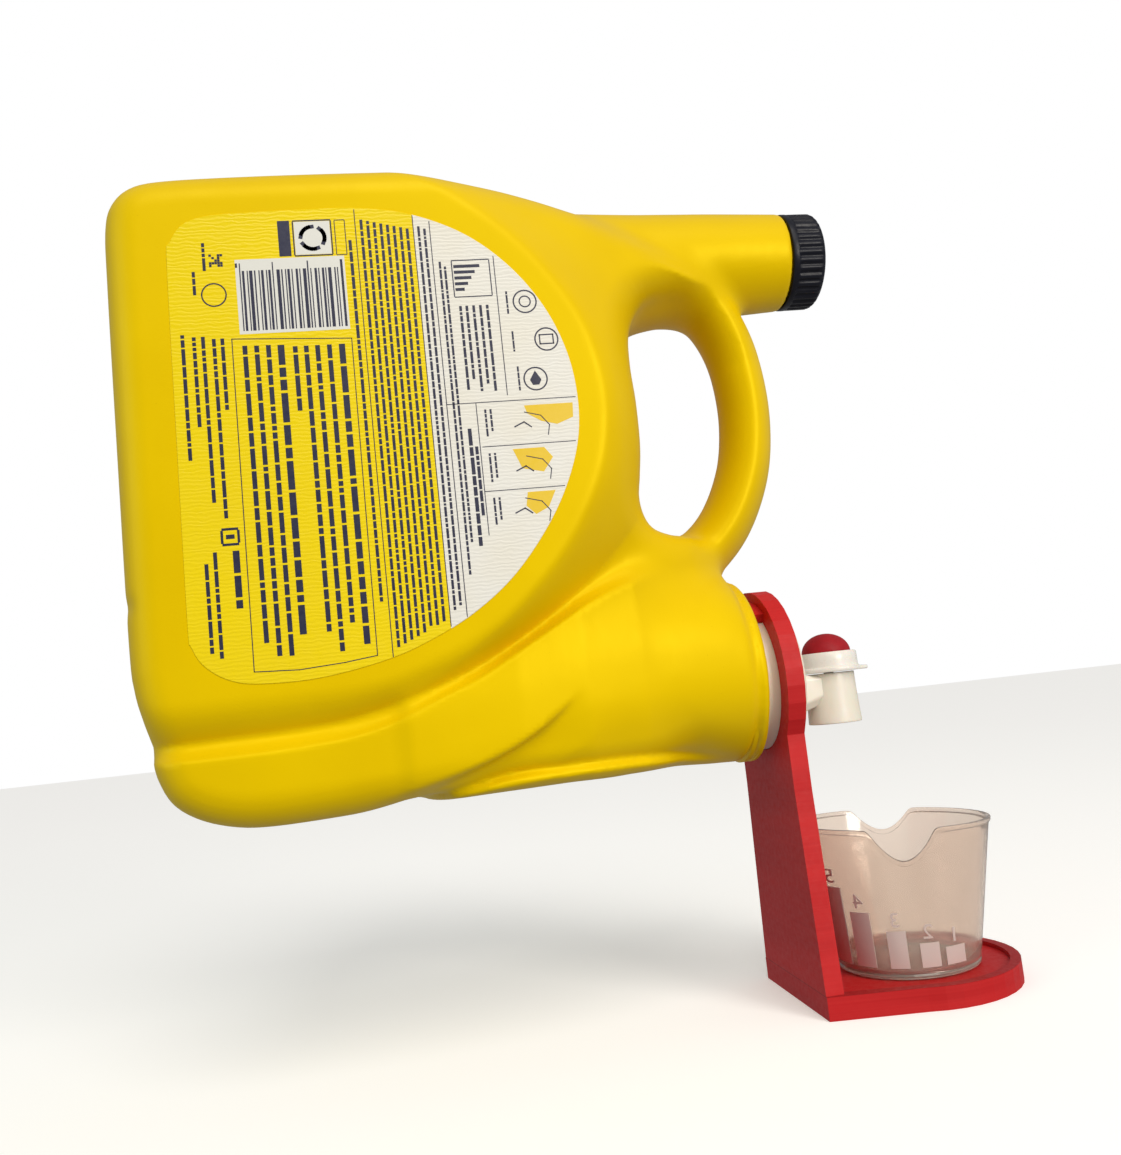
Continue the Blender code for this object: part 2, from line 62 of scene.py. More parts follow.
class Shader:
    """Small helper that grows a node tree from left to right."""

    def __init__(self, name):
        self.mat = bpy.data.materials.new(name)
        self.mat.use_nodes = True
        self.tree = self.mat.node_tree
        self.bsdf = self.tree.nodes["Principled BSDF"]
        self.coord = self.tree.nodes.new("ShaderNodeTexCoord").outputs["Object"]

    def link(self, out, socket):
        self.tree.links.new(out, socket)

    def feed(self, value, socket):
        """Links an output to the socket, or sets a plain value on it."""
        if hasattr(value, "is_output"):
            self.link(value, socket)
        else:
            socket.default_value = value

    def scaled(self, scale):
        node = self.tree.nodes.new("ShaderNodeMapping")
        node.inputs["Scale"].default_value = scale
        self.link(self.coord, node.inputs["Vector"])
        return node.outputs["Vector"]

    def noise(self, scale, detail=3.0, rough=0.5, stretch=(1.0, 1.0, 1.0), distort=0.0):
        node = self.tree.nodes.new("ShaderNodeTexNoise")
        node.inputs["Scale"].default_value = scale
        node.inputs["Detail"].default_value = detail
        node.inputs["Roughness"].default_value = rough
        node.inputs["Distortion"].default_value = distort
        self.link(self.scaled(stretch), node.inputs["Vector"])
        return node.outputs["Fac"]

    def ramp(self, value, stops):
        node = self.tree.nodes.new("ShaderNodeValToRGB")
        band = node.color_ramp
        while len(band.elements) < len(stops):
            band.elements.new(0.5)
        for element, (where, colour) in zip(band.elements, stops):
            element.position = where
            element.color = colour if hasattr(colour, "__len__") else (colour, colour, colour, 1.0)
        self.link(value, node.inputs["Fac"])
        return node.outputs["Color"]

    def math(self, operation, *values):
        node = self.tree.nodes.new("ShaderNodeMath")
        node.operation = operation
        for value, socket in zip(values, node.inputs):
            self.feed(value, socket)
        return node.outputs[0]

    def mix(self, factor, a, b):
        node = self.tree.nodes.new("ShaderNodeMix")
        node.data_type = "RGBA"
        for value, k in ((factor, 0), (a, 6), (b, 7)):
            self.feed(value, node.inputs[k])
        return node.outputs[2]

    def axis(self, letter):
        node = self.tree.nodes.new("ShaderNodeSeparateXYZ")
        self.link(self.coord, node.inputs[0])
        return node.outputs[letter]

    def bump(self, height, depth, strength, under=None):
        """Bump of the given real depth in metres."""
        node = self.tree.nodes.new("ShaderNodeBump")
        node.inputs["Strength"].default_value = strength
        node.inputs["Distance"].default_value = depth
        self.link(height, node.inputs["Height"])
        if under is not None:
            self.link(under, node.inputs["Normal"])
        return node.outputs["Normal"]

    def done(self, colour=None, rough=None, normal=None, **plain):
        for socket, value in (("Base Color", colour), ("Roughness", rough), ("Normal", normal)):
            if value is not None:
                self.link(value, self.bsdf.inputs[socket])
        for key, value in plain.items():
            self.bsdf.inputs[key.replace("_", " ")].default_value = value
        return self.mat


def cream_plastic(name, colour, rough):
    """Injection-moulded polypropylene, a little milky, with faint flow marks and a fine surface."""
    s = Shader(name)
    warm = tuple(c * 0.93 for c in colour[:2]) + (colour[2] * 0.86, 1)
    tint = s.ramp(s.noise(90, 3, 0.55, (1, 1, 0.4)), [(0.35, colour), (0.75, warm)])
    worn = s.ramp(s.noise(260, 4, 0.7), [(0.4, rough - 0.06), (0.7, rough + 0.10)])
    fine = s.bump(s.noise(2200, 2), 0.00003, 0.4)
    flow = s.bump(s.noise(120, 2, 0.4), 0.0002, 0.3, fine)
    return s.done(tint, worn, flow, Subsurface_Weight=0.15, Subsurface_Scale=0.002, IOR=1.49)


def rubber_red():
    """Soft moulded button: matte, with fine grain and uneven roughness."""
    s = Shader("button_dome_red")
    blotch = s.noise(160, 3, 0.6)
    colour = s.ramp(blotch, [(0.3, (0.29, 0.008, 0.014, 1)), (0.75, (0.37, 0.011, 0.018, 1))])
    rough = s.ramp(s.noise(420, 4, 0.7), [(0.35, 0.48), (0.7, 0.66)])
    return s.done(colour, rough, s.bump(s.noise(1800, 3), 0.00008, 0.5), Specular_IOR_Level=0.18)


def navy_plastic():
    """Dark moulded cap with dusty grooves."""
    s = Shader("cap_dark_navy")
    blotch = s.noise(140, 4, 0.6)
    colour = s.ramp(blotch, [(0.3, (0.004, 0.0045, 0.010, 1)), (0.8, (0.008, 0.009, 0.017, 1))])
    dust = s.ramp(s.noise(1300, 3, 0.7), [(0.68, 0), (0.82, 0.2)])
    colour = s.mix(dust, colour, (0.10, 0.10, 0.12, 1))
    rough = s.ramp(s.noise(300, 4, 0.7), [(0.35, 0.30), (0.7, 0.46)])
    return s.done(colour, rough, s.bump(s.noise(1600, 2), 0.00005, 0.5), Specular_IOR_Level=0.22)


def printed_red():
    """Printed plastic: fine layer lines one above another, with slight colour shifts from layer to layer."""
    s = Shader("stand_layered_red")
    z = s.axis("Z")
    layer = s.math("SINE", s.math("MULTIPLY", z, 2 * math.pi / 0.0004))
    shifts = s.noise(1, 3, 0.6, (6, 6, 900))
    broad = s.noise(1, 2, 0.5, (10, 10, 70))
    colour = s.ramp(broad, [(0.30, (0.46, 0.010, 0.012, 1)), (0.70, (0.565, 0.016, 0.018, 1))])
    colour = s.mix(s.ramp(shifts, [(0.35, 0), (0.75, 0.30)]), colour, (0.64, 0.028, 0.026, 1))
    top = (STAND_Z0 + TRAY_T) * MM
    seam = s.math("LESS_THAN", s.math("ABSOLUTE", s.math("SUBTRACT", z, top)), 0.00022)
    colour = s.mix(s.math("MULTIPLY", seam, 0.55), colour, (0.24, 0.008, 0.010, 1))
    rough = s.ramp(s.noise(380, 4, 0.7), [(0.35, 0.40), (0.7, 0.56)])
    lines = s.bump(layer, 0.00003, 0.45)
    uneven = s.bump(shifts, 0.00010, 0.45, lines)
    return s.done(colour, rough, uneven, IOR=1.46, Specular_IOR_Level=0.22)


def label_film(name, left, right, split):
    """Printed film with a fine wavy emboss; one colour up to a line across it, another beyond."""
    s = Shader(name)
    beyond = s.math("GREATER_THAN", s.axis("X"), split)
    base = s.mix(beyond, left, right)
    base = s.mix(s.ramp(s.noise(30, 3), [(0.35, 0), (0.75, 0.12)]), base, (0.70, 0.50, 0.02, 1))
    ripple = s.tree.nodes.new("ShaderNodeTexWave")
    ripple.wave_type = "BANDS"
    ripple.bands_direction = "Z"
    ripple.inputs["Scale"].default_value = 1.0
    ripple.inputs["Distortion"].default_value = 6.0
    ripple.inputs["Detail"].default_value = 2.0
    ripple.inputs["Detail Scale"].default_value = 1.6
    s.link(s.scaled((110, 110, 210)), ripple.inputs["Vector"])
    rough = s.ramp(s.noise(200, 4, 0.7), [(0.35, 0.26), (0.7, 0.40)])
    waves = s.bump(ripple.outputs["Fac"], 0.00010, 0.6)
    return s.done(base, rough, waves, Specular_IOR_Level=0.25)


def ink(name, colour):
    """Printing ink, a little paler where it is worn."""
    s = Shader(name)
    tone = tuple(c + 0.015 for c in colour[:3]) + (1,)
    worn = s.ramp(s.noise(700, 3, 0.6), [(0.4, colour), (0.8, tone)])
    rough = s.ramp(s.noise(300, 3), [(0.3, 0.3), (0.7, 0.42)])
    return s.done(worn, rough, s.bump(s.noise(2600), 0.00001, 0.3))


def clear_plastic(name, tint, rough, haze, through):
    """Injection-moulded clear plastic, slightly hazed by use."""
    s = Shader(name)
    worn = s.ramp(s.noise(90, 5, 0.65, (1, 1, 0.5)), [(0.35, rough), (0.75, rough + haze)])
    dull = tuple(c * 0.95 for c in tint[:3]) + (1,)
    colour = s.ramp(s.noise(40, 3), [(0.3, tint), (0.8, dull)])
    ripple = s.bump(s.noise(55, 2, 0.4, (1, 1, 0.3)), 0.0006, 0.35)
    return s.done(colour, worn, ripple, Transmission_Weight=through, IOR=1.46)


def yellow_plastic():
    """Blow-moulded polyethylene: satin, with faint flow clouds, fine grain and handling scuffs."""
    s = Shader("bottle_yellow_satin")
    cloud = s.noise(14, 3, 0.5)
    colour = s.ramp(cloud, [(0.3, (0.735, 0.485, 0, 1)), (0.7, (0.80, 0.540, 0, 1))])
    specks = s.noise(900, 2, 0.6)
    colour = s.mix(s.ramp(specks, [(0.70, 0), (0.80, 0.35)]), colour, (0.62, 0.38, 0, 1))
    scuff = s.noise(60, 5, 0.75, (1, 1, 0.35), 1.2)
    rough = s.ramp(scuff, [(0.35, 0.40), (0.62, 0.46), (0.74, 0.56)])
    grain = s.bump(s.noise(1500, 2, 0.5), 0.00004, 0.5)
    wave = s.bump(s.noise(45, 2, 0.45), 0.0006, 0.35, grain)
    return s.done(colour, rough, wave, IOR=1.5, Specular_IOR_Level=0.75, Specular_Tint=(1, 0.80, 0.03, 1))


def rubber(name, blotch, dark, light, rough, grain, depth, strength):
    """Soft seal material with uneven colour and a fine grain."""
    s = Shader(name)
    colour = s.ramp(s.noise(blotch, 3), [(0.3, dark), (0.7, light)])
    worn = s.ramp(s.noise(500), [(0.3, rough), (0.7, rough + 0.2)])
    return s.done(colour, worn, s.bump(s.noise(grain), depth, strength))


# ---- curves in the side view


def spline(points, step, closed=False):
    """Smooth curve through the points, as evenly spaced points."""
    p = np.asarray(points, float)
    if closed:
        p = np.vstack([p[-1:], p, p[:2]])
    else:
        p = np.vstack([2 * p[0] - p[1], p, 2 * p[-1] - p[-2]])
    t = np.linspace(0, 1, 12, endpoint=False)[:, None]
    found = []
    for a, b, c, d in zip(p[:-3], p[1:-2], p[2:-1], p[3:]):
        found.append(0.5 * (2 * b + (c - a) * t + (2 * a - 5 * b + 4 * c - d) * t**2
                            + (3 * b - a - 3 * c + d) * t**3))
    dense = np.vstack(found + [p[1:2] if closed else p[-2:-1]])
    length = np.concatenate([[0], np.cumsum(np.linalg.norm(np.diff(dense, axis=0), axis=1))])
    count = max(int(round(length[-1] / step)), 2)
    where = np.linspace(0, length[-1], count + 1)
    return np.stack([np.interp(where, length, dense[:, k]) for k in range(dense.shape[1])], 1)


def from_curve(line, x, z):
    """Distance to a line, its side (positive on the left of its direction) and how far along, 0 to 1."""
    best = np.full(x.shape, 1e9)
    side = np.ones(x.shape)
    along = np.zeros(x.shape)
    count = len(line) - 1
    for i in range(count):
        (ax, az), (bx, bz) = line[i], line[i + 1]
        dx, dz = bx - ax, bz - az
        px, pz = x - ax, z - az
        t = np.clip((px * dx + pz * dz) / (dx * dx + dz * dz), 0, 1)
        d = (px - t * dx) ** 2 + (pz - t * dz) ** 2
        near = d < best
        best = np.where(near, d, best)
        side = np.where(near, np.sign(dx * pz - dz * px), side)
        along = np.where(near, (i + t) / count, along)
    return np.sqrt(best), side, along


def inside_polygon(line, x, z):
    inside = np.zeros(x.shape, bool)
    for (ax, az), (bx, bz) in zip(line[:-1], line[1:]):
        if az == bz:
            continue
        cross = (az > z) != (bz > z)
        inside ^= cross & (x < (bx - ax) * (z - az) / (bz - az) + ax)
    return inside


def ease(t):
    t = np.clip(t, 0, 1)
    return t * t * (3 - 2 * t)


def soft_union(a, b, k):
    h = np.maximum(k - np.abs(a - b), 0) / k
    return np.minimum(a, b) - h * h * k * 0.25


# ---- bottle body

BODY_OUTLINE = [
    (-248.2, 70), (-247.2, 54), (-245.2, 44), (-243.9, 36.5), (-243, 29), (-241.4, 21.5), (-236.8, 12.6),
    (-228, 6.2), (-216, 2.2), (-203, 0.9), (-180, 1.4), (-155, 2.8), (-125, 3.5), (-95, 3.6),
    (-70, 3.4), (-48, 6), (-30, 18), (-22, 40), (-18, 66), (-16, 82), (-19, 92), (-27, 97.6),
    (-37, 98.8), (-46, 102.5), (-50.4, 112), (-49.6, 122), (-48.4, 134), (-48.2, 152), (-48.6, 166),
    (-47, 179), (-43.2, 190), (-36.5, 199.5), (-25, 204), (-14, 205), (-10, 208.5), (-20, 217),
    (-40, 229.5), (-62, 238.6), (-84, 244.2), (-108, 247), (-150, 247.6), (-195, 247.4),
    (-226, 246.4), (-238, 243.8), (-245, 237.5), (-247.9, 228), (-248.4, 205), (-248.4, 140),
]
FALL_LINE = [
    (-176, 270), (-148, 250), (-124, 235), (-103, 219), (-86, 200), (-73, 177), (-68, 150), (-72, 124),
    (-84, 100), (-100, 80), (-120, 62), (-150, 43), (-182, 32), (-216, 26), (-270, 25),
]
VALLEY = [
    (-262, 34.5), (-235, 33.6), (-214, 34), (-200, 34.2), (-186, 34.8), (-172, 36.2), (-154, 40.4),
    (-139, 45.2), (-124, 51), (-108, 59.2), (-91, 70), (-75, 82), (-60, 96), (-48, 110), (-34, 126),
]
CREST = [
    (-262, 27.6), (-235, 27.2), (-200, 27.6), (-172, 29.6), (-154, 33.8), (-140, 39.6), (-124, 46),
    (-109, 54), (-93, 62.8), (-77, 71.4), (-60, 77.6), (-44, 81.8), (-25, 85),
]
LEAF = [(-84, 40), (-89, 35.6), (-103.4, 24.7), (-123, 15.2), (-153, 6.5), (-175, 1.5)]
LIP = [
    (-170, -1.5), (-145, 2.8), (-125, 6.6), (-110, 8.4), (-84, 9), (-68, 8.8), (-53, 8), (-40, 6.4),
    (-26, 3.6), (-14, 0), (-6, -4),
]
GRIP = [
    (-42, 220), (-20, 215.5), (-5, 206), (3.8, 193.5), (9.2, 175), (10.3, 150), (5.4, 125), (-7.5, 101.5),
    (-28, 84.5), (-46, 76),
]
HALF = 62.5  # half the bottle's thickness
FLANK = 24.0  # half thickness far beyond the fall line
EDGE = 14.0  # rounding between the wide sides and the outline


def blurred(values, cells):
    """A map softened over the given number of cells each way."""
    kernel = np.hanning(2 * cells + 3)[1:-1]
    kernel /= kernel.sum()
    for axis in (0, 1):
        padded = np.pad(values, [(cells, cells) if k == axis else (0, 0) for k in (0, 1)], mode="edge")
        values = np.apply_along_axis(np.convolve, axis, padded, kernel, "valid")
    return values


def side_maps():
    """Everything about the bottle that depends only on the place in the side view."""
    xs = np.arange(-254.0, 44.0, CELL)
    zs = np.arange(-6.0, 256.0, CELL)
    x, z = np.meshgrid(xs, zs, indexing="ij")
    outline = spline(BODY_OUTLINE, 3.0, True)
    away, _, _ = from_curve(outline, x, z)
    depth = np.where(inside_polygon(outline, x, z), away, -away)

    fall, fall_side, _ = from_curve(spline(FALL_LINE, 4.0), x, z)
    beyond = np.maximum(np.where(fall_side > 0, fall, -fall), 0)
    upper = FLANK + (HALF - FLANK) * np.exp(-(np.sqrt(beyond**2 + 25) - 5) / 38)

    valley, valley_side, valley_t = from_curve(spline(VALLEY, 4.0), x, z)
    crest, crest_side, _ = from_curve(spline(CREST, 4.0), x, z)
    dip = np.interp(valley_t, [0, 0.3, 0.42, 0.52, 0.64, 0.8, 1], [7.2, 6.8, 5.8, 6, 7.4, 5.4, 0.5])
    lower = np.interp(x, [-250, -200, -160, -110, -84, -60, -40, -20],
                      [60, 60.6, 60.2, 58, 54.5, 46.5, 35, 22])
    spread = np.interp(valley_t, [0, 0.3, 0.42, 0.6, 0.85], [15, 14, 10, 11, 22])
    above = upper - dip * np.clip(1 - valley / spread, 0, 1) ** 2
    floor = upper - dip
    share = crest / (crest + valley + 1e-6)
    between = lower + (floor - lower) * np.sin(np.clip(share, 0, 1) * math.pi / 2)
    half = np.where(crest_side < 0, lower, np.where(valley_side > 0, above, between))
    half += (blurred(half, 22) - half) * ease((x + 62) / 26)

    grip, _, grip_t = from_curve(spline(GRIP, 3.0), x, z)
    grip_r = np.interp(grip_t, [0, 0.12, 0.24, 0.5, 0.8, 1], [10.6, 10.8, 11.6, 11.5, 11.8, 13])
    grip_y = np.interp(grip_t, [0, 0.12, 0.24, 0.38, 0.8, 1], [27, 24, 19, 15.6, 16, 19])

    leaf, leaf_side, leaf_t = from_curve(spline(LEAF, 3.0), x, z)
    lip, lip_side, lip_t = from_curve(spline(LIP, 3.0), x, z)
    leaf_step = ease(0.5 + leaf * leaf_side / np.interp(leaf_t, [0, 0.35, 0.7, 1], [1.6, 2.2, 4, 7]))
    lip_step = ease(0.5 + lip * lip_side / 5.0)
    edge = 3.2 * np.exp(-(leaf / 14) ** 2) * ease(leaf_t * 3) * ease((1 - leaf_t) * 3)
    shelf = 1.1 * np.exp(-(lip / 10) ** 2) * ease(lip_t * 4) * ease((1 - lip_t) * 5)
    under = 3.6 * np.clip((34 - z) / 24, 0, 1) ** 2 * ease((x + 140) / 35) * ease((-10 - x) / 66)
    hollow = (np.maximum(edge, shelf) + under) * leaf_step * lip_step
    scoop = EDGE + 6 * np.exp(-(((x + 36) / 22) ** 2 + ((z - 190) / 15) ** 2))
    dent = 0.7 * np.exp(-(((x + 246) / 2.6) ** 2 + ((z - 84) / 3.4) ** 2))
    return xs[0], zs[0], np.stack([depth, half, grip, grip_r, grip_y, hollow + dent, scoop], -1)


MAP_X0, MAP_Z0, MAPS = side_maps()


def sample(x, z):
    """Side-view maps at any point, by bilinear interpolation."""
    u = np.clip((x - MAP_X0) / CELL, 0, MAPS.shape[0] - 1.001)
    v = np.clip((z - MAP_Z0) / CELL, 0, MAPS.shape[1] - 1.001)
    i, j = u.astype(int), v.astype(int)
    fu, fv = (u - i)[..., None], (v - j)[..., None]
    value = (MAPS[i, j] * (1 - fu) * (1 - fv) + MAPS[i + 1, j] * fu * (1 - fv)
             + MAPS[i, j + 1] * (1 - fu) * fv + MAPS[i + 1, j + 1] * fu * fv)
    return [value[..., k] for k in range(value.shape[-1])]


BARREL_X = [-150, -110, -84, -55, -35, -20, -13, -6]
BARREL_HALF = [57, 56, 53, 48.5, 44.5, 41.2, 39.6, 38]
BARREL_TOP = [48, 60, 74, 85, 87, 86, 82, 76.5]
BARREL_LOW = [2.5, 3, 3.4, 2.8, 1.8, 0.9, 0.5, 0.6]
BARREL_POWER = [3.3, 3, 2.7, 2.45, 2.3, 2.2, 2.1, 2]
FILL_X = [-130, -90, -63, -35, 0, 35.6]
FILL_HALF = [50, 41.5, 34, 27.5, 24.4, 21.8]
FILL_TOP = [246.8, 247.4, 247.8, 248, 247.9, 246.9]
FILL_LOW = [165, 180, 190, 197, 201.5, 203.6]
FILL_POWER = [2.4, 2.3, 2.2, 2.1, 2, 2]
GRIP_POWER = 1.65


def flowing(x, xs, values):
    """Values between stations, with the corners at the stations rounded off."""
    dense = np.linspace(xs[0], xs[-1], int(xs[-1] - xs[0]) + 1)
    reach = 12
    kernel = np.hanning(2 * reach + 1)
    padded = np.pad(np.interp(dense, xs, values), reach, mode="reflect", reflect_type="odd")
    return np.interp(x, dense, np.convolve(padded, kernel / kernel.sum(), "valid"))


def section(x, y, z, xs, half, low, top, power, end, rounding):
    """Superellipse sections along X, with a rounded end on the right and a plain one inside the body."""
    a = flowing(x, xs, half)
    z0, z1 = flowing(x, xs, low), flowing(x, xs, top)
    b, c = 0.5 * (z1 - z0), 0.5 * (z0 + z1)
    p = flowing(x, xs, power)
    r = ((np.abs(y) / a) ** p + (np.abs(z - c) / b) ** p + 1e-9) ** (1 / p)
    u = np.maximum(1 - (1 - r) * np.minimum(a, b) / rounding, 0)
    v = np.maximum(1 - np.minimum(end - x, x - xs[0] + rounding) / rounding, 0)
    return (np.sqrt(u * u + v * v) - 1) * rounding


def bottle_field(x, y, z, side):
    """Negative inside the bottle, about the distance in mm near its surface."""
    depth, half, grip, grip_r, grip_y, hollow, edge = side
    u = np.maximum(1 - depth / edge, 0)
    v = np.maximum(1 - (half - np.abs(y)) / edge, 0)
    body = (np.sqrt(u * u + v * v) - 1) * edge
    barrel = section(x, y, z, BARREL_X, BARREL_HALF, BARREL_LOW, BARREL_TOP, BARREL_POWER, -6.5, 2.4)
    barrel = barrel + 2.2 * np.exp(-(((x + 11.5) / 1.9) ** 2)) * np.clip(np.abs(z - 38) / 28, 0.55, 1)
    fill = section(x, y, z, FILL_X, FILL_HALF, FILL_LOW, FILL_TOP, FILL_POWER, 35.6, 1.4)
    tube = (grip / grip_r) ** GRIP_POWER + (np.abs(y) / grip_y) ** GRIP_POWER + 1e-6
    tube = (tube ** (1 / GRIP_POWER) - 1) * grip_r
    field = soft_union(body, barrel, 7.0)
    field = soft_union(field, fill, 5.0)
    return soft_union(field, tube, 7.0) + hollow


def surface(field_at, low, high, step):
    """Closed quad mesh of the zero surface of a field in a box."""
    axes = [np.arange(a, b + step, step) for a, b in zip(low, high)]
    x, y, z = axes[0][:, None, None], axes[1][None, :, None], axes[2][None, None, :]
    side = [m[:, None, :] for m in sample(*np.meshgrid(axes[0], axes[2], indexing="ij"))]
    f = np.broadcast_to(field_at(x, y, z, side), [len(a) for a in axes]).astype(np.float32)
    inside = f < 0
    corners = [(i, j, k) for i in (0, 1) for j in (0, 1) for k in (0, 1)]
    count = sum(inside[i:i - 1 or None, j:j - 1 or None, k:k - 1 or None].astype(np.int8)
                for i, j, k in corners)
    cells = np.argwhere((count > 0) & (count < 8))
    index = np.full(count.shape, -1, np.int64)
    index[tuple(cells.T)] = np.arange(len(cells))
    total = np.zeros((len(cells), 3))
    hits = np.zeros(len(cells))
    for c in corners:
        for axis in range(3):
            if c[axis]:
                continue
            d = list(c)
            d[axis] = 1
            fa = f[tuple((cells + c).T)]
            fb = f[tuple((cells + d).T)]
            crossed = (fa < 0) != (fb < 0)
            t = np.where(crossed, fa / np.where(fa == fb, 1, fa - fb), 0)
            point = np.array(c, float)[None] + t[:, None] * (np.array(d) - np.array(c))[None]
            total += np.where(crossed[:, None], point, 0)
            hits += crossed
    points = (cells + total / hits[:, None]) * step + np.array([a[0] for a in axes])
    faces = []
    for axis in range(3):
        b, c = [(1, 2), (2, 0), (0, 1)][axis]
        first = np.take(inside, range(0, inside.shape[axis] - 1), axis)
        second = np.take(inside, range(1, inside.shape[axis]), axis)
        change = np.argwhere(first != second)
        inner = np.ones(len(change), bool)
        for k in (b, c):
            inner &= (change[:, k] > 0) & (change[:, k] < inside.shape[k] - 1)
        change = change[inner]
        step_b, step_c = np.eye(3, dtype=int)[b], np.eye(3, dtype=int)[c]
        shifts = (0 * step_b, step_b, step_b + step_c, step_c)
        quad = np.stack([index[tuple((change - o).T)] for o in shifts], 1)
        out = first[tuple(change.T)]
        faces.append(np.where(out[:, None], quad, quad[:, ::-1]))
    probe = 0.25
    for _ in range(2):
        here = [points[:, k] for k in range(3)]
        value = field_at(*here, sample(here[0], here[2]))
        grad = np.zeros_like(points)
        for k in range(3):
            there = list(here)
            there[k] = there[k] + probe
            grad[:, k] = (field_at(*there, sample(there[0], there[2])) - value) / probe
        size = np.maximum((grad**2).sum(1), 0.05)
        points = points - np.clip(value / size, -step, step)[:, None] * grad
    return points, np.vstack(faces)


# ---- meshes


def linked(name, data):
    """A new object in the scene."""
    item = bpy.data.objects.new(name, data)
    bpy.context.scene.collection.objects.link(item)
    return item


def raw_mesh(name, points, faces, material, smooth=True, clean=True):
    """A piece from working points in mm; clean joins doubled points and marks sharp edges."""
    mesh = bpy.data.meshes.new(name)
    mesh.from_pydata(place(points).tolist(), [], [list(map(int, f)) for f in faces])
    mesh.validate()
    if clean:
        bm = bmesh.new()
        bm.from_mesh(mesh)
        bmesh.ops.remove_doubles(bm, verts=bm.verts, dist=1e-6)
        bmesh.ops.recalc_face_normals(bm, faces=bm.faces)
        bm.to_mesh(mesh)
        bm.free()
    mesh.polygons.foreach_set("use_smooth", [smooth] * len(mesh.polygons))
    if clean and smooth:
        mesh.set_sharp_from_angle(angle=SHARP_NEW)
    mesh.materials.append(material)
    return linked(name, mesh)


def dress(name, material):
    """Gives a node of the frame, used as it is, its material and smooth faces."""
    mesh = NODES[name].data
    mesh.materials.clear()
    mesh.materials.append(material)
    mesh.polygons.foreach_set("use_smooth", [True] * len(mesh.polygons))
    mesh.set_sharp_from_angle(angle=SHARP_FRAME)
    return NODES[name]


def woven(rings, loop=True):
    """Points and quads of rings of equal length; loop joins the last ring to the first."""
    rows = np.asarray(rings, float)
    n, m = rows.shape[:2]
    i, j = np.meshgrid(np.arange(n if loop else n - 1), np.arange(m), indexing="ij")
    a = i * m + j
    b = i * m + (j + 1) % m
    c = ((i + 1) % n) * m + (j + 1) % m
    d = ((i + 1) % n) * m + j
    return rows.reshape(-1, 3), np.stack([a, b, c, d], -1).reshape(-1, 4)


def angles(count):
    """The given number of angles, evenly round a full turn."""
    return np.linspace(0, 2 * math.pi, count, endpoint=False)


def hoop_x(x, r, a, centre_z):
    """Points at the angles a about an axis along X; the radius may change round the ring."""
    return np.stack([x + 0 * a, r * np.cos(a), centre_z + r * np.sin(a)], 1)


def hoop_z(z, r, a, centre_x):
    """The same about an axis along Z."""
    return np.stack([centre_x + r * np.cos(a), r * np.sin(a), z + 0 * a], 1)


def turned_about_x(profile, centre_z, count):
    """Points and quads of a closed (x, radius) section turned about an axis along X."""
    return woven([hoop_x(x, r, angles(count), centre_z) for x, r in profile])


def turned_about_z(profile, centre_x, count):
    """The same for a closed (radius, z) section about an axis along Z."""
    return woven([hoop_z(z, r, angles(count), centre_x) for r, z in profile])


def rounded(points, radius):
    """A closed section with each corner rounded by up to the radius."""
    p = [np.array(q, float) for q in points]
    out = []
    for i, here in enumerate(p):
        before, after = p[i - 1], p[(i + 1) % len(p)]
        r = min(radius, 0.45 * np.linalg.norm(before - here), 0.45 * np.linalg.norm(after - here))
        a = here + (before - here) / np.linalg.norm(before - here) * r
        b = here + (after - here) / np.linalg.norm(after - here) * r
        for t in np.linspace(0, 1, 4):
            out.append((1 - t) ** 2 * a + 2 * t * (1 - t) * here + t**2 * b)
    return [tuple(q) for q in out]


def keep(item, body, slot, *nodes):
    """Says which body a new piece rides on and the nodes it replaces; the slot is not used."""
    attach(item, body)
    if nodes:
        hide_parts(*nodes)
    return item


# ---- bottle pieces


def threaded_neck(name, centre_z, x0, x1, outer, bore, ridge, pitch, turns, material):
    """Neck with a screw thread, open at the end."""
    a = angles(144)
    rings = []
    start = x1 - 2.0 - pitch * turns
    for x in np.arange(x0, x1 + 0.01, 0.5):
        phase = (x - start) / pitch - a / (2 * math.pi)
        on = (phase > 0) & (phase < turns)
        crest = np.where(on, np.maximum(0, np.cos((phase % 1 - 0.5) * 2 * math.pi)) ** 0.7, 0)
        fade = np.clip(np.minimum(phase, turns - phase) * 6, 0, 1)
        rings.append(hoop_x(x, outer - ridge + ridge * crest * fade, a, centre_z))
    for x, r in ((x1, outer - ridge - 0.5), (x1, bore + 0.4), (x1 - 0.5, bore), (x0, bore)):
        rings.append(hoop_x(x, r, a, centre_z))
    return raw_mesh(name, *woven(rings), material)


def bottle_pieces():
    yellow = yellow_plastic()
    bead = [
        (-15, 31), (-12.2, 34.45), (-11.2, 34.45), (-10.4, 34.45), (-9.6, 32.9), (-9.1, 32.6),
        (-8.6, 33.4), (-8, 34.4), (-7.2, 34.45), (-6.6, 34.3), (-6.3, 33.2), (-6.2, 30), (-6.2, 27),
        (-6.2, 24.4), (-15, 24.4),
    ]
    body = surface(bottle_field, (-252, -66, -3), (38, 66, 251), GRID)
    for item in (
        raw_mesh("bottle_body_skin", *body, yellow, clean=False),
        threaded_neck("bottle_fill_neck", FILL_Z, 29, 49, 18.9, 16.6, 1.1, 4.2, 1.25, yellow),
        raw_mesh("bottle_tap_bead", *turned_about_x(bead, TAP_Z, 128), yellow),
        threaded_neck("bottle_tap_neck", TAP_Z, -8, 5, 27.1, 24.4, 0.7, 4, 1.8, yellow),
    ):
        keep(item, "bottle", "bottle_yellow", "bottle_shell")


# ---- labels

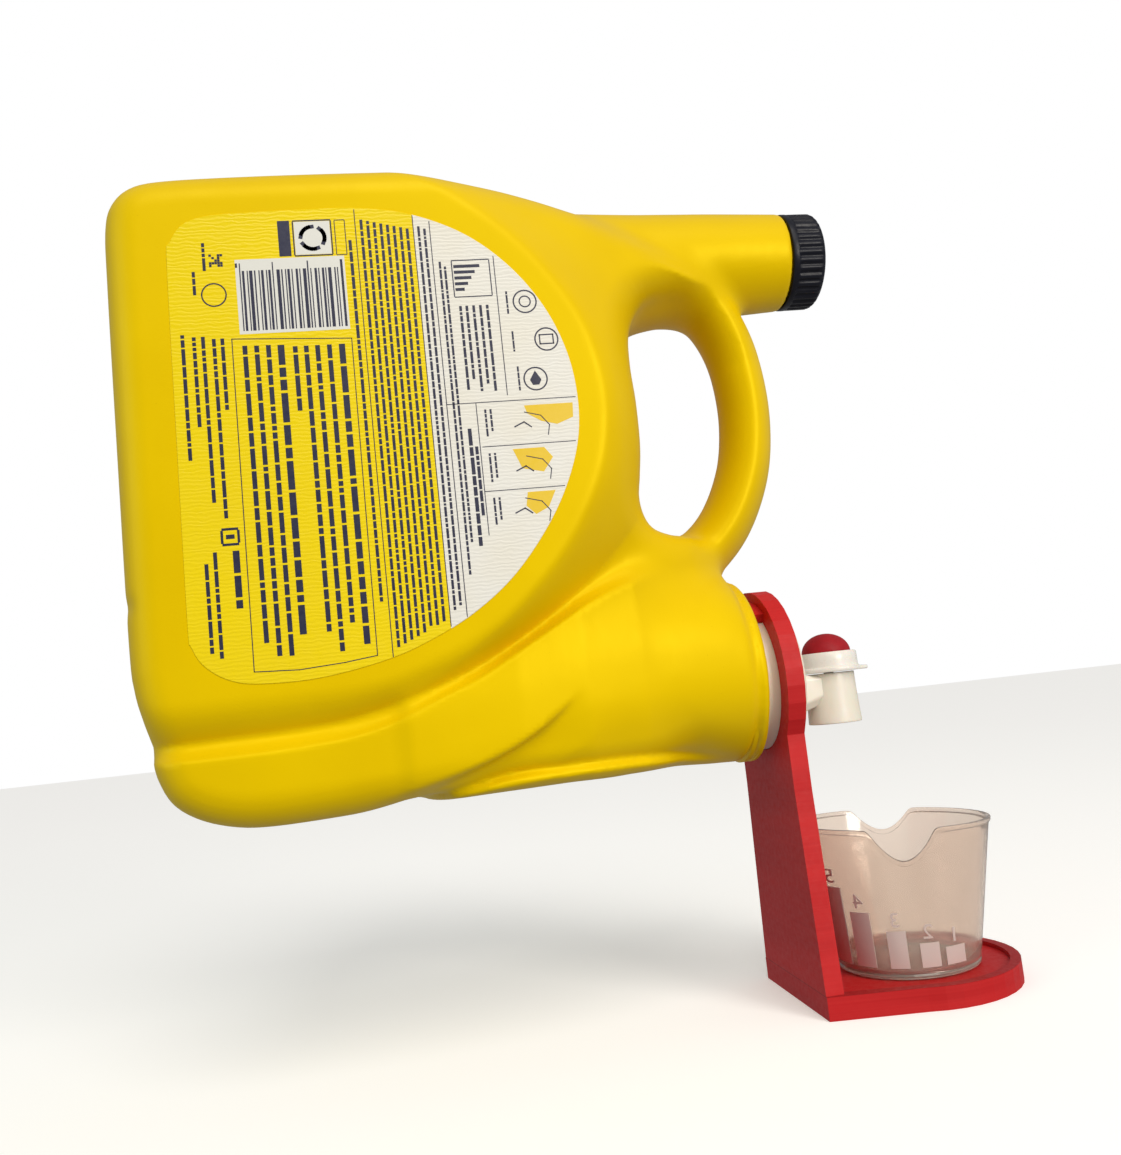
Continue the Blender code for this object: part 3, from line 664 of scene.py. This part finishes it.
LABEL_OUTLINE = [
    (-225.2, 74), (-224.8, 140), (-224.2, 208), (-223, 216), (-218, 223.5), (-209, 226.6),
    (-196, 227.4), (-175, 227.9), (-154, 227.8), (-134, 224.6), (-114, 215.8), (-98, 202.2),
    (-86, 185), (-79, 166), (-77, 147), (-79.2, 130), (-86, 112.5), (-96, 96.5),
    (-109, 81.5), (-124, 70), (-140, 61.8), (-157, 55.9), (-181, 51.8), (-202, 51.8),
    (-212.5, 54.2), (-220.6, 60), (-224.4, 67),
]
FILM_IN = 62.35
FILM_OUT = 62.82
INK_OUT = 62.88
INK_NAVY = (0.012, 0.014, 0.045, 1)
FILM_YELLOW = (0.85, 0.640, 0.001, 1)


def label_prism(name, side, material):
    """A film with the label's outline and a slightly rounded edge, on one wide side."""
    outline = spline(LABEL_OUTLINE, 2.0, True)[:-1]
    count = len(outline)
    levels = [(FILM_IN, 0), (FILM_OUT - 0.12, 0), (FILM_OUT, 0.15)]
    toward = outline.mean(0) - outline
    toward /= np.linalg.norm(toward, axis=1)[:, None]
    points = []
    for y, inset in levels:
        points += [(x, side * y, z) for x, z in outline + toward * inset]
    faces = []
    for k in range(len(levels) - 1):
        for i in range(count):
            j = (i + 1) % count
            faces.append((k * count + i, k * count + j, (k + 1) * count + j, (k + 1) * count + i))
    faces.append(tuple(range(count)))
    faces.append(tuple(range((len(levels) - 1) * count, len(levels) * count)))
    return raw_mesh(name, points, faces, material, smooth=False)


class Print:
    """Collects flat inked shapes on one wide side as thin closed prisms; sink lays them lower."""

    def __init__(self, side, sink=0.0):
        self.side = side
        self.top = INK_OUT - sink
        self.points = []
        self.faces = []

    def shape(self, outline, lift=0.0):
        base = len(self.points)
        n = len(outline)
        for y in (FILM_OUT - 0.05, self.top + lift):
            self.points += [(x, self.side * y, z) for x, z in outline]
        self.faces.append(tuple(range(base, base + n)))
        self.faces.append(tuple(range(base + n, base + 2 * n)))
        for i in range(n):
            j = (i + 1) % n
            self.faces.append((base + i, base + j, base + n + j, base + n + i))

    def bar(self, x0, x1, z0, z1, lift=0.0):
        self.shape([(x0, z0), (x1, z0), (x1, z1), (x0, z1)], lift)

    def line(self, points, width, closed=False):
        p = [np.array(q, float) for q in points]
        for a, b in zip(p, p[1:] + ([p[0]] if closed else [])):
            along = (b - a) / np.linalg.norm(b - a)
            off = np.array([-along[1], along[0]]) * width / 2
            end = along * width / 2
            self.shape([a - end + off, a - end - off, b + end - off, b + end + off])

    def frame(self, x0, x1, z0, z1, width):
        h = width / 2
        for z in (z0, z1):
            self.bar(x0, x1, z - h, z + h)
        for x in (x0, x1):
            self.bar(x - h, x + h, z0 + h, z1 - h)

    def ring(self, x, z, radius, width, steps=28):
        a = angles(steps)
        inner = radius - width
        for s, t in zip(a, np.roll(a, -1)):
            corners = ((radius, s), (radius, t), (inner, t), (inner, s))
            self.shape([(x + r * math.cos(q), z + r * math.sin(q)) for r, q in corners])

    def disc(self, x, z, radius):
        self.shape([(x + radius * math.cos(a), z + radius * math.sin(a)) for a in angles(24)])

    def row(self, x, z_from, z_to, height, draws, dense=0.78):
        """A row of plain dashes of uneven length, running down the label."""
        z = z_from
        cut = height * dense / 2
        while z > z_to + height:
            length = min(height * draws.uniform(0.7, 3.8), z - z_to)
            self.bar(x - cut, x + cut, z - length, z)
            z -= length + height * 0.34

    def build(self, name, material):
        return raw_mesh(name, self.points, self.faces, material, smooth=False)


def film(name, side, split, white):
    """A label film, yellow up to the split and white beyond."""
    material = label_film("label_film_" + name, FILM_YELLOW, white, (split - REST_X) * MM)
    keep(label_prism(name + "_label_film", side, material), "bottle", name + "_film", name + "_label")


def front_label():
    """Printed side: panels, rules, rows of plain dashes, small signs and a block of bars."""
    film("front", -1, -133.2, (0.78, 0.76, 0.71, 1))
    draws = np.random.default_rng(7)

    navy = Print(-1)
    for x, z0, z1 in ((-154.9, 56.6, 227.2), (-133.2, 65.6, 224), (-127, 68.6, 221.4), (-103.8, 151, 206.4)):
        navy.bar(x - 0.16, x + 0.16, z0, z1)
    for z, x0, x1 in ((148.8, -127, -77.8), (131.6, -115.2, -79.6), (114.6, -116, -85.6)):
        navy.bar(x0, x1, z - 0.15, z + 0.15)
    navy.bar(-116.2, -115.9, 98, 148.8)
    panel = [(-159.8, 176.6), (-203, 178.6), (-203.6, 56.2), (-188, 55.4), (-172, 56.4), (-160.4, 57.8)]
    navy.line(panel, 0.32, True)
    for x, z_from, z_to, height in (
        (-163.6, 174.6, 61, 2.9), (-168.2, 174.6, 70, 2.2), (-172.5, 174.6, 60.5, 2.2),
        (-176.6, 174.6, 68, 2.2), (-180.6, 174.6, 150, 2.2), (-185.7, 175.4, 64, 3.1),
        (-190.2, 175.6, 59, 2.2), (-194.4, 175.6, 59, 2.2), (-198.6, 175.8, 66, 2.2),
        (-206.4, 179, 152, 1.7), (-209.4, 179, 112, 1.7), (-213.2, 180, 118, 1.7), (-216.4, 180, 146, 1.7),
        (-220.4, 181, 134, 1.7), (-214.2, 100, 62, 1.7), (-217.4, 96, 64, 1.7), (-206.9, 100, 76, 3),
        (-157.3, 215, 76, 1.5), (-211, 216, 205, 1.4), (-215, 205, 196, 1.4),
    ):
        navy.row(x, z_from, z_to, height, draws)
    for k in range(8):
        navy.row(-152.6 + 2.44 * k, 223 - 0.6 * k, 60 + 1.1 * k, 1.55, draws, 0.7)
    for x, z_from, z_to, height in (
        (-131.2, 219.5, 70, 1.2), (-129, 218.5, 72, 1.2), (-124.4, 205, 84, 1.1), (-122.6, 203, 96, 1.1),
        (-118.2, 187, 154, 1.3), (-115.8, 187, 158, 1.3), (-113.2, 187, 152, 1.3), (-110.6, 187, 156, 1.3),
        (-108, 187, 153, 1.3), (-119.4, 139, 92, 1.8), (-117.4, 132, 104, 1.5), (-112.8, 146, 135, 1),
        (-110.8, 146, 136.5, 1), (-112.8, 129, 118, 1), (-110.8, 129, 119.5, 1), (-112.8, 112, 101, 1),
        (-110.8, 112, 102.5, 1), (-100.2, 192, 183, 0.9), (-99.4, 176, 167, 0.9), (-98.8, 162, 152, 0.9),
    ):
        navy.row(x, z_from, z_to, height, draws)
    for x, z in ((-93.4, 187.6), (-86.6, 172.2), (-92.4, 156.8)):
        navy.ring(x, z, 4.7, 0.55)
    navy.ring(-93.4, 187.6, 2.4, 0.5, 20)
    navy.line([(-89.2, 170.4), (-84, 170.4), (-84, 174), (-89.2, 174)], 0.5, True)
    navy.shape([(-92.4, 160), (-94.6, 156.4), (-93.6, 154.4), (-91.2, 154.4), (-90.2, 156.4)])
    navy.ring(-208.2, 195.8, 4.6, 0.5)
    navy.frame(-211.4, -205.6, 102.4, 108, 0.9)
    navy.bar(-210, -207, 104.4, 106)
    for i in range(5):
        for j in range(5):
            if (3 * i + 5 * j + i * j) % 4 < 2:
                navy.bar(-209.2 + i, -208.3 + i, 206.6 + j, 207.5 + j)
    navy.frame(-120, -105.6, 190.6, 205.2, 0.4)
    for k, reach in enumerate((3.5, 5, 6.5, 8, 10)):
        navy.bar(-119.4, -119.4 + reach, 193 + 2.3 * k, 194.2 + 2.3 * k)
    navy.bar(-183.6, -179.2, 209.6, 223.6)
    navy.frame(-178, -164, 209.6, 223.4, 0.5)
    for start in (90, 210, 330):
        arc = np.linspace(math.radians(start), math.radians(start + 84), 6)
        navy.line([(-171 + 4.4 * math.cos(t), 216.5 + 4.4 * math.sin(t)) for t in arc], 1.5)
    navy.frame(-162.6, -158.8, 209.4, 223.2, 0.3)
    bars, gaps = (0.42, 0.84, 0.42, 1.2, 0.5, 0.42, 0.9), (0.5, 0.9, 0.42, 0.6, 1.1)
    x, k = -198.6, 0
    while x < -161.4:
        width = bars[k % len(bars)]
        navy.bar(x, x + width, 181.4, 204.6 if k % 9 else 207.6, lift=0.01)
        x += width + gaps[k % len(gaps)]
        k += 1
    navy.row(-199.6, 207.6, 205.6, 1, draws)
    for x0, z0 in ((-98, 134), (-99, 117), (-101, 101)):
        navy.line([(x0, z0 + 10), (x0 + 6, z0 + 8.4), (x0 + 9, z0 + 4.6), (x0 + 8.2, z0 + 0.8)], 0.35)
        navy.line([(x0 - 4.2, z0 + 4.6), (x0 - 0.6, z0 + 6.2), (x0 + 2, z0 + 4.2)], 0.5)

    pale = Print(-1, 0.02)
    pale.bar(-200, -160, 180.2, 209)
    pale.bar(-177.6, -164.4, 210, 223)

    sun = Print(-1, 0.02)
    sun.shape([(-98, 146.6), (-79.2, 146.6), (-79.6, 141), (-86, 138.6), (-92, 140.2), (-97, 143.4)])
    sun.shape([(-104, 130), (-92, 130), (-89, 126), (-93, 120.6), (-101, 122.4)])
    sun.shape([(-100, 113.2), (-89.4, 113.2), (-92.6, 107), (-97.6, 104.6), (-101, 108)])

    for shapes, name, tone, colour in (
        (navy, "print", "navy", INK_NAVY), (pale, "white_blocks", "white", (0.72, 0.71, 0.66, 1)),
        (sun, "yellow_shapes", "yellow", (0.78, 0.52, 0.01, 1)),
    ):
        keep(shapes.build("front_label_" + name, ink("label_ink_" + tone, colour)), "bottle", "front_film")


def rear_label():
    """The other wide side: a plain two-colour film with rings, rules and bars."""
    film("rear", 1, -112, (0.78, 0.765, 0.72, 1))
    navy = Print(1)
    navy.bar(-112.4, -111.6, 81, 214)
    navy.bar(-117, -116.2, 78, 216)
    navy.ring(-168, 139.6, 46, 5, 96)
    navy.ring(-168, 139.6, 36, 1.4, 96)
    for k in range(5):
        x, cut = -186 + 8 * k, 3 * abs(k - 2)
        navy.bar(x, x + 4, 122 + cut, 157 - cut)
    navy.disc(-94, 146, 7)
    keep(navy.build("rear_label_print", ink("label_ink_navy_rear", INK_NAVY)), "bottle", "rear_film")


# ---- tap


def tap_pieces():
    cream = cream_plastic("tap_cream_plastic", (0.84, 0.79, 0.70, 1), 0.34)
    collar = rounded([
        (-5.8, 29.4), (-5.2, 30), (4, 30), (11, 30), (12, 29), (12, 19), (9.7, 19), (9.7, 27.4), (-5.8, 27.4),
    ], 0.6)
    # A slightly darker, pinker copy of the tap cream: painted shade for the collar skirt, which sits in the
    # shadow of the plate
    skirt = cream_plastic("collar_cream_painted_shade", (0.83, 0.76, 0.66, 1), 0.36)
    collar = raw_mesh("tap_collar_skirt", *turned_about_x(collar, TAP_Z, 128), skirt)
    keep(collar, "bottle", "collar_cream", "tap_collar")

    flange = rounded([
        (6.2, 27), (9.3, 27), (9.3, 18.6), (12.6, 18.6), (13.2, 18), (13.2, 9.6), (12.2, 4.6), (6.2, 4.6),
    ], 0.5)
    flange = raw_mesh("tap_flange", *turned_about_x(flange, TAP_Z - 6.6, 96), cream)
    keep(flange, "bottle", "tap_cream", "tap_body")

    low_cut, top_cut = 3.6, 1.7  # bevels along the underside and the top of the barrel
    rings = []
    for x, half, low, top in ((11, 9.2, -18.4, -0.5), (14.5, 8.9, -17.2, -0.4), (22, 8.4, -15, -0.4),
                              (27, 8.2, -13.4, -0.4), (33, 8, -12.6, -0.4)):
        low, top = TAP_Z + low, TAP_Z + top
        right = [(half - low_cut * 0.8, low), (half, low + low_cut),
                 (half, top - top_cut), (half - top_cut, top)]
        left = [(-y, z) for y, z in reversed(right)]
        rings.append([(x, y, z) for y, z in left[-1:] + right + left[:-1]])
    points, faces = woven(rings, loop=False)
    faces = [tuple(f) for f in faces] + [tuple(range(8)), tuple(range(len(points) - 8, len(points)))]
    web = raw_mesh("tap_barrel", points, faces, cream)
    bevel = web.modifiers.new("bevel", "BEVEL")
    bevel.width = 0.0007
    bevel.segments = 3
    keep(web, "bottle", "tap_cream", "tap_body")

    z = TAP_Z
    spout = rounded([
        (10.8, z - 0.3), (10.9, z - 8), (11.2, z - 16), (11.5, z - 21.6), (11.4, z - 22.3), (9.9, z - 22.3),
        (9.7, z - 21), (9.7, z - 13.3), (6.4, z - 13.3), (6.4, z - 11.5), (9.2, z - 11.5), (9.2, z - 2.2),
        (2.5, z - 2.2), (2.5, z - 0.3),
    ], 0.35)
    spout = raw_mesh("tap_spout", *turned_about_z(spout, SPOUT_X, 96), cream)
    keep(spout, "bottle", "tap_cream", "tap_body")

    white = cream_plastic("ring_white_plastic", (0.82, 0.79, 0.745, 1), 0.3)
    a = angles(144)
    reach = np.minimum(15.3 / np.maximum(np.cos(a), 0.05), 40)
    wide = np.minimum(reach, 14.6 + 2.4 * np.exp(-((np.abs(a - math.pi) - (math.pi - 0.42)) / 0.22) ** 2))
    lip = np.where(np.cos(a) > 0.2, np.maximum(14.2, wide), 14.2)
    wall, bore = 12.4, 10.9
    rings = [hoop_z(TAP_Z, r, a, SPOUT_X) for r in (bore, wall)]
    for height, share in ((0, 0.9), (0.3, 1), (1.1, 1), (1.6, 0.97)):
        rings.append(hoop_z(TAP_Z + height, wall + (lip - wall) * share, a, SPOUT_X))
    for height, r in ((1.9, 13.6), (2.4, 13.1), (5, 13), (8.2, 12.9), (8.7, 12.5), (8.8, 11.9),
                      (8.8, 11.2), (8.4, bore)):
        rings.append(hoop_z(TAP_Z + height, r, a, SPOUT_X))
    keep(raw_mesh("button_ring_band", *woven(rings), white), "bottle", "ring_white", "button_ring")

    low, mid, top, skin = TAP_Z + 4.4, TAP_Z + 8.6, TAP_Z + 17.2, 1.5
    rise = np.radians(np.arange(6, 90, 6))
    dome = [(10.6, low), (10.6, mid)] + [(10.6 * math.cos(t), mid + 8.6 * math.sin(t)) for t in rise]
    dome += [(0.05, top), (0.05, top - skin)]
    dome += [(9.1 * math.cos(t), mid + 7.1 * math.sin(t)) for t in rise[::-1]] + [(9.1, mid), (9.1, low)]
    dome = raw_mesh("button_dome_skin", *turned_about_z(dome, SPOUT_X, 96), rubber_red())
    keep(dome, "button", "button_red", "button_dome")

    dress("valve_stem", cream_plastic("stem_plastic", (0.80, 0.79, 0.76, 1), 0.35))
    dress("valve_seal", rubber("seal_rubber", 300, (0.018, 0.018, 0.018, 1), (0.035, 0.035, 0.034, 1),
                               0.6, 2400, 0.00005, 0.5))
    dress("collar_gasket", rubber("gasket_foam", 400, (0.28, 0.28, 0.27, 1), (0.40, 0.40, 0.38, 1),
                                  0.7, 1500, 0.0001, 0.6))
    dress("vent_cap_liner", cream_plastic("liner_foam", (0.66, 0.66, 0.64, 1), 0.6))


# ---- fill cap


RIBS = 36
RIB_DEPTH = 0.85  # mm


def fill_cap():
    """Cap with ribs round its skirt; each ring is (x, radius, share of the rib depth)."""
    a = angles(RIBS * 8)
    rib = np.clip(np.cos(RIBS * a) * 1.6 + 0.35, -1, 1) * 0.5 + 0.5
    profile = [
        (36.2, 20.3, 0), (36.2, 21, 0), (36.4, 21.45, 0), (36.8, 21.6, 0), (38.6, 21.6, 0), (38.9, 21.55, 0),
        (39.2, 21.5, 0.7), (40, 21.5, 1), (44, 21.5, 1), (48.6, 21.45, 1), (49.6, 21.4, 0.9),
        (50.6, 21, 0.5), (51.3, 20.4, 0.2), (51.8, 19.6, 0), (52, 18.6, 0), (52, 17.6, 0), (51.75, 17, 0),
        (51.7, 8, 0), (51.7, 1.2, 0), (51.7, 0.05, 0), (50.4, 0.05, 0), (50.4, 8, 0), (50.4, 20, 0),
        (49.9, 20.2, 0), (40, 20.2, 0),
    ]
    rings = [hoop_x(x, radius - RIB_DEPTH * depth * (1 - rib), a, FILL_Z) for x, radius, depth in profile]
    keep(raw_mesh("fill_cap_ribbed", *woven(rings), navy_plastic()), "fill_cap", "cap_navy", "vent_cap")


# ---- stand and cup

CUP_X = 52.5  # axis of the cup
CUP_Z0 = STAND_Z0 + 7.7
CUP_H = 62.8
CUP_FOOT_R = 29.2
CUP_RIM_R = 42.0
CUP_THICK = 1.5
NOTCHES = (math.radians(-109.0), math.radians(71.0))
NOTCH_DEPTHS = (1.0, 0.72)
CUP_FRONT = math.radians(-114.6)
MARKS = ((-26.4, 33, "5"), (-16.6, 23, "4"), (-3.6, 15.4, "3"), (8.6, 10, "2"), (18.4, 7.4, "1"))
MARK_LOW = 5.0
MARK_HALF = 3.7
MARK_COLS, MARK_ROWS = 7, 6
DIGIT_SIZE = 8.5
DIGIT_GAP = 1.8


def stand():
    """The tray and its plate keep the frame's own mesh, with softened edges."""
    bevel = dress("cup_stand", printed_red()).modifiers.new("edge", "BEVEL")
    bevel.width = 0.0004
    bevel.segments = 2
    bevel.limit_method = "ANGLE"
    bevel.angle_limit = math.radians(50)


def arc_off(a, centre, radius):
    """Length of arc between the angles a and a notch's centre."""
    return np.abs((a - centre + math.pi) % (2 * math.pi) - math.pi) * radius


def bell(a, centre, radius, flat, half):
    """1 in the middle of a notch, falling smoothly to 0 at its half width, both in mm of arc."""
    return 1 - ease((arc_off(a, centre, radius) - flat) / (half - flat))


def cup_radius(height, a):
    """Outer radius of the wall at a height over the foot."""
    r = CUP_FOOT_R + (CUP_RIM_R - CUP_FOOT_R - 0.5) * np.clip(height / CUP_H, 0, 1)
    for centre in NOTCHES:
        r = r - 1.5 * bell(a, centre, 38, 2, 10) * np.clip(height / 30 - 0.3, 0, 1)
    return r


def cup_wall(material):
    """One closed skin: under the foot, up the outside, round the rim, down the inside."""
    a = angles(240)
    dip = 0.0
    for centre, deep in zip(NOTCHES, NOTCH_DEPTHS):
        bowl = 1 - (arc_off(a, centre, CUP_RIM_R) / 14) ** 2
        dip = dip + 0.5 * deep * (bowl + np.sqrt(bowl**2 + 0.02))
    roll = 1 - np.clip(sum(bell(a, centre, CUP_RIM_R, 13, 16.5) for centre in NOTCHES), 0, 1)
    rim = CUP_H - 1.5 * (1 + np.cos(a)) - 13 * dip
    rings = []

    def ring(height, radius):
        rings.append(hoop_z(CUP_Z0 + height, radius, a, CUP_X))

    for height, radius in ((0.5, 0.05), (0.5, 10), (0.5, 20), (0.5, 26.4), (0, 27), (0, 28.6),
                           (0.5, 29.4), (1.6, 29.6), (2.3, 29.2), (3, cup_radius(3, a))):
        ring(height, radius)
    for share in np.linspace(0.08, 0.955, 16):
        ring(rim * share, cup_radius(rim * share, a))
    for down, out in ((2.3, 0), (2.1, 0.55), (1.6, 0.75), (0.5, 0.75), (0.1, 0.5), (0, 0.1), (0, -0.7)):
        ring(rim - down, cup_radius(rim - down, a) + (out - 0.1) * (roll if out > 0 else 1))
    ring(rim - 0.5, cup_radius(rim - 0.5, a) - CUP_THICK + 0.1)
    for share in np.linspace(0.955, 0.08, 16):
        ring(rim * share, cup_radius(rim * share, a) - CUP_THICK)
    for height, radius in ((2.6, 26.8), (1.9, 25.6), (1.9, 20), (1.9, 10), (1.9, 0.05)):
        ring(height, radius)
    return raw_mesh("dosing_cup_wall", *woven(rings), material)


def on_wall(across, height, out):
    """Point on the outside of the wall, the given distance across the front."""
    wall = float(cup_radius(height, CUP_FRONT))
    angle = CUP_FRONT + math.asin(max(min(across / wall, 0.995), -0.995))
    wall = float(cup_radius(height, angle)) + out
    return CUP_X + wall * math.cos(angle), wall * math.sin(angle), CUP_Z0 + height


def cup_bars(material):
    """Raised bars on the wall, as closed patches of MARK_COLS by MARK_ROWS points."""
    points, faces = [], []
    cols, rows = MARK_COLS, MARK_ROWS
    n = cols * rows
    edge = [*range(rows), *range(2 * rows - 1, n, rows), *range(n - 2, n - rows - 1, -1),
            *range(n - 2 * rows, 0, -rows)]
    for middle, top, _ in MARKS:
        base = len(points)
        for out in (-0.3, 0.28):
            points += [on_wall(middle + t, height, out) for t in np.linspace(-MARK_HALF, MARK_HALF, cols)
                       for height in np.linspace(MARK_LOW, MARK_LOW + top, rows)]
        for i in range(cols - 1):
            for j in range(rows - 1):
                q = [i * rows + j, i * rows + j + 1, (i + 1) * rows + j + 1, (i + 1) * rows + j]
                faces.append([base + k for k in q])
                faces.append([base + n + k for k in reversed(q)])
        for p, q in zip(edge, edge[1:] + edge[:1]):
            faces.append([base + p, base + q, base + n + q, base + n + p])
    return raw_mesh("dosing_cup_bars", points, faces, material)


def cup_digits(material):
    """A number over each bar, bent round the wall."""
    points, faces = [], []
    for middle, top, digit in MARKS:
        text = bpy.data.curves.new("digit", "FONT")
        text.body = digit
        text.size = DIGIT_SIZE
        text.extrude = 0.22
        text.align_x = "CENTER"
        text.resolution_u = 3
        holder = linked("digit", text)
        bpy.context.view_layer.update()
        shape = bpy.data.meshes.new_from_object(holder.evaluated_get(bpy.context.evaluated_depsgraph_get()))
        bpy.data.objects.remove(holder)
        bpy.data.curves.remove(text)
        base = len(points)
        for v in shape.vertices:
            points.append(on_wall(middle - v.co.x, MARK_LOW + top + DIGIT_GAP + v.co.y, 0.05 + v.co.z))
        faces += [[base + k for k in f.vertices] for f in shape.polygons]
        bpy.data.meshes.remove(shape)
    return raw_mesh("dosing_cup_digits", points, faces, material, smooth=False)


def cup():
    clear = clear_plastic("cup_clear_plastic", (0.92, 0.80, 0.71, 1), 0.06, 0.10, 0.84)
    frost = clear_plastic("cup_frosted_marks", (0.84, 0.68, 0.64, 1), 0.4, 0.10, 0.25)
    keep(cup_wall(clear), "cup", "cup_clear", "dosing_cup")
    keep(cup_bars(frost), "cup", "cup_clear")
    keep(cup_digits(frost), "cup", "cup_clear")


bottle_pieces()
front_label()
rear_label()
tap_pieces()
fill_cap()
stand()
cup()

# ---- floor, light, camera


def stage_setup():
    sheet = bpy.data.meshes.new("floor_sheet")
    level = STAND_Z0 * MM - 0.0001
    corners = [(x, y, level) for x, y in ((-6, -6), (6, -6), (6, 6), (-6, 6))]
    sheet.from_pydata(corners, [], [(0, 1, 2, 3)])
    sheet.materials.append(Shader("floor_pale").done(
        Base_Color=(0.88, 0.88, 0.87, 1), Roughness=0.9,
        Emission_Color=(1, 0.99, 0.97, 1), Emission_Strength=0.30))
    floor = linked("floor_sheet", sheet)
    floor.visible_diffuse = False
    floor.visible_glossy = False

    world = bpy.data.worlds.new("studio")
    world.use_nodes = True
    tree = world.node_tree
    backdrop = tree.nodes["Background"].inputs
    backdrop["Color"].default_value = (1, 1, 1, 1)
    path = tree.nodes.new("ShaderNodeLightPath")
    strength = tree.nodes.new("ShaderNodeMapRange")
    strength.inputs["To Min"].default_value = 0.33
    strength.inputs["To Max"].default_value = 1.0
    tree.links.new(path.outputs["Is Camera Ray"], strength.inputs["Value"])
    tree.links.new(strength.outputs["Result"], backdrop["Strength"])
    bpy.context.scene.world = world
    bpy.context.scene.view_settings.view_transform = "Standard"

    def lamp(name, kind, where, target, power, colour):
        light = bpy.data.lights.new(name, kind)
        light.energy = power
        light.color = colour
        item = linked(name, light)
        item.location = where
        item.rotation_mode = "QUATERNION"
        item.rotation_quaternion = (Vector(target) - Vector(where)).to_track_quat("-Z", "Y")
        return light

    def panel(size, *rest):
        light = lamp(*rest)
        light.shape = "RECTANGLE"
        light.size = light.size_y = size

    panel(0.45, "key", "AREA", (0.72, -1.15, 0.42), (0, 0, 0.09), 9.6, (1, 0.95, 0.87))
    ceiling = lamp("ceiling", "SUN", (0, 0, 0), (-0.1, 0.9, -1), 1.25, (1, 0.96, 0.9))
    ceiling.angle = math.radians(35)
    panel(1, "fill", "AREA", (-1.5, -0.7, 0.5), (0, 0, 0.1), 5, (0.78, 1, 0.86))

    camera = bpy.data.cameras.new("camera")
    camera.sensor_width = 36.0
    camera.lens = 32.776
    camera.clip_start = 0.01
    eye = linked("camera", camera)
    yaw, pitch, roll = 0.1565, 0.1194, 0.1083
    ahead = Vector((math.sin(yaw) * math.cos(pitch), math.cos(yaw) * math.cos(pitch), math.sin(pitch)))
    right = Vector((math.cos(yaw), -math.sin(yaw), 0.0))
    up = right.cross(ahead)
    across = math.cos(roll) * right - math.sin(roll) * up
    upward = math.sin(roll) * right + math.cos(roll) * up
    turn = Matrix((across, upward, -ahead)).transposed().to_4x4()
    eye.matrix_world = Matrix.Translation((-0.00674, -0.4468, 0.03331)) @ turn
    bpy.context.scene.camera = eye


stage_setup()
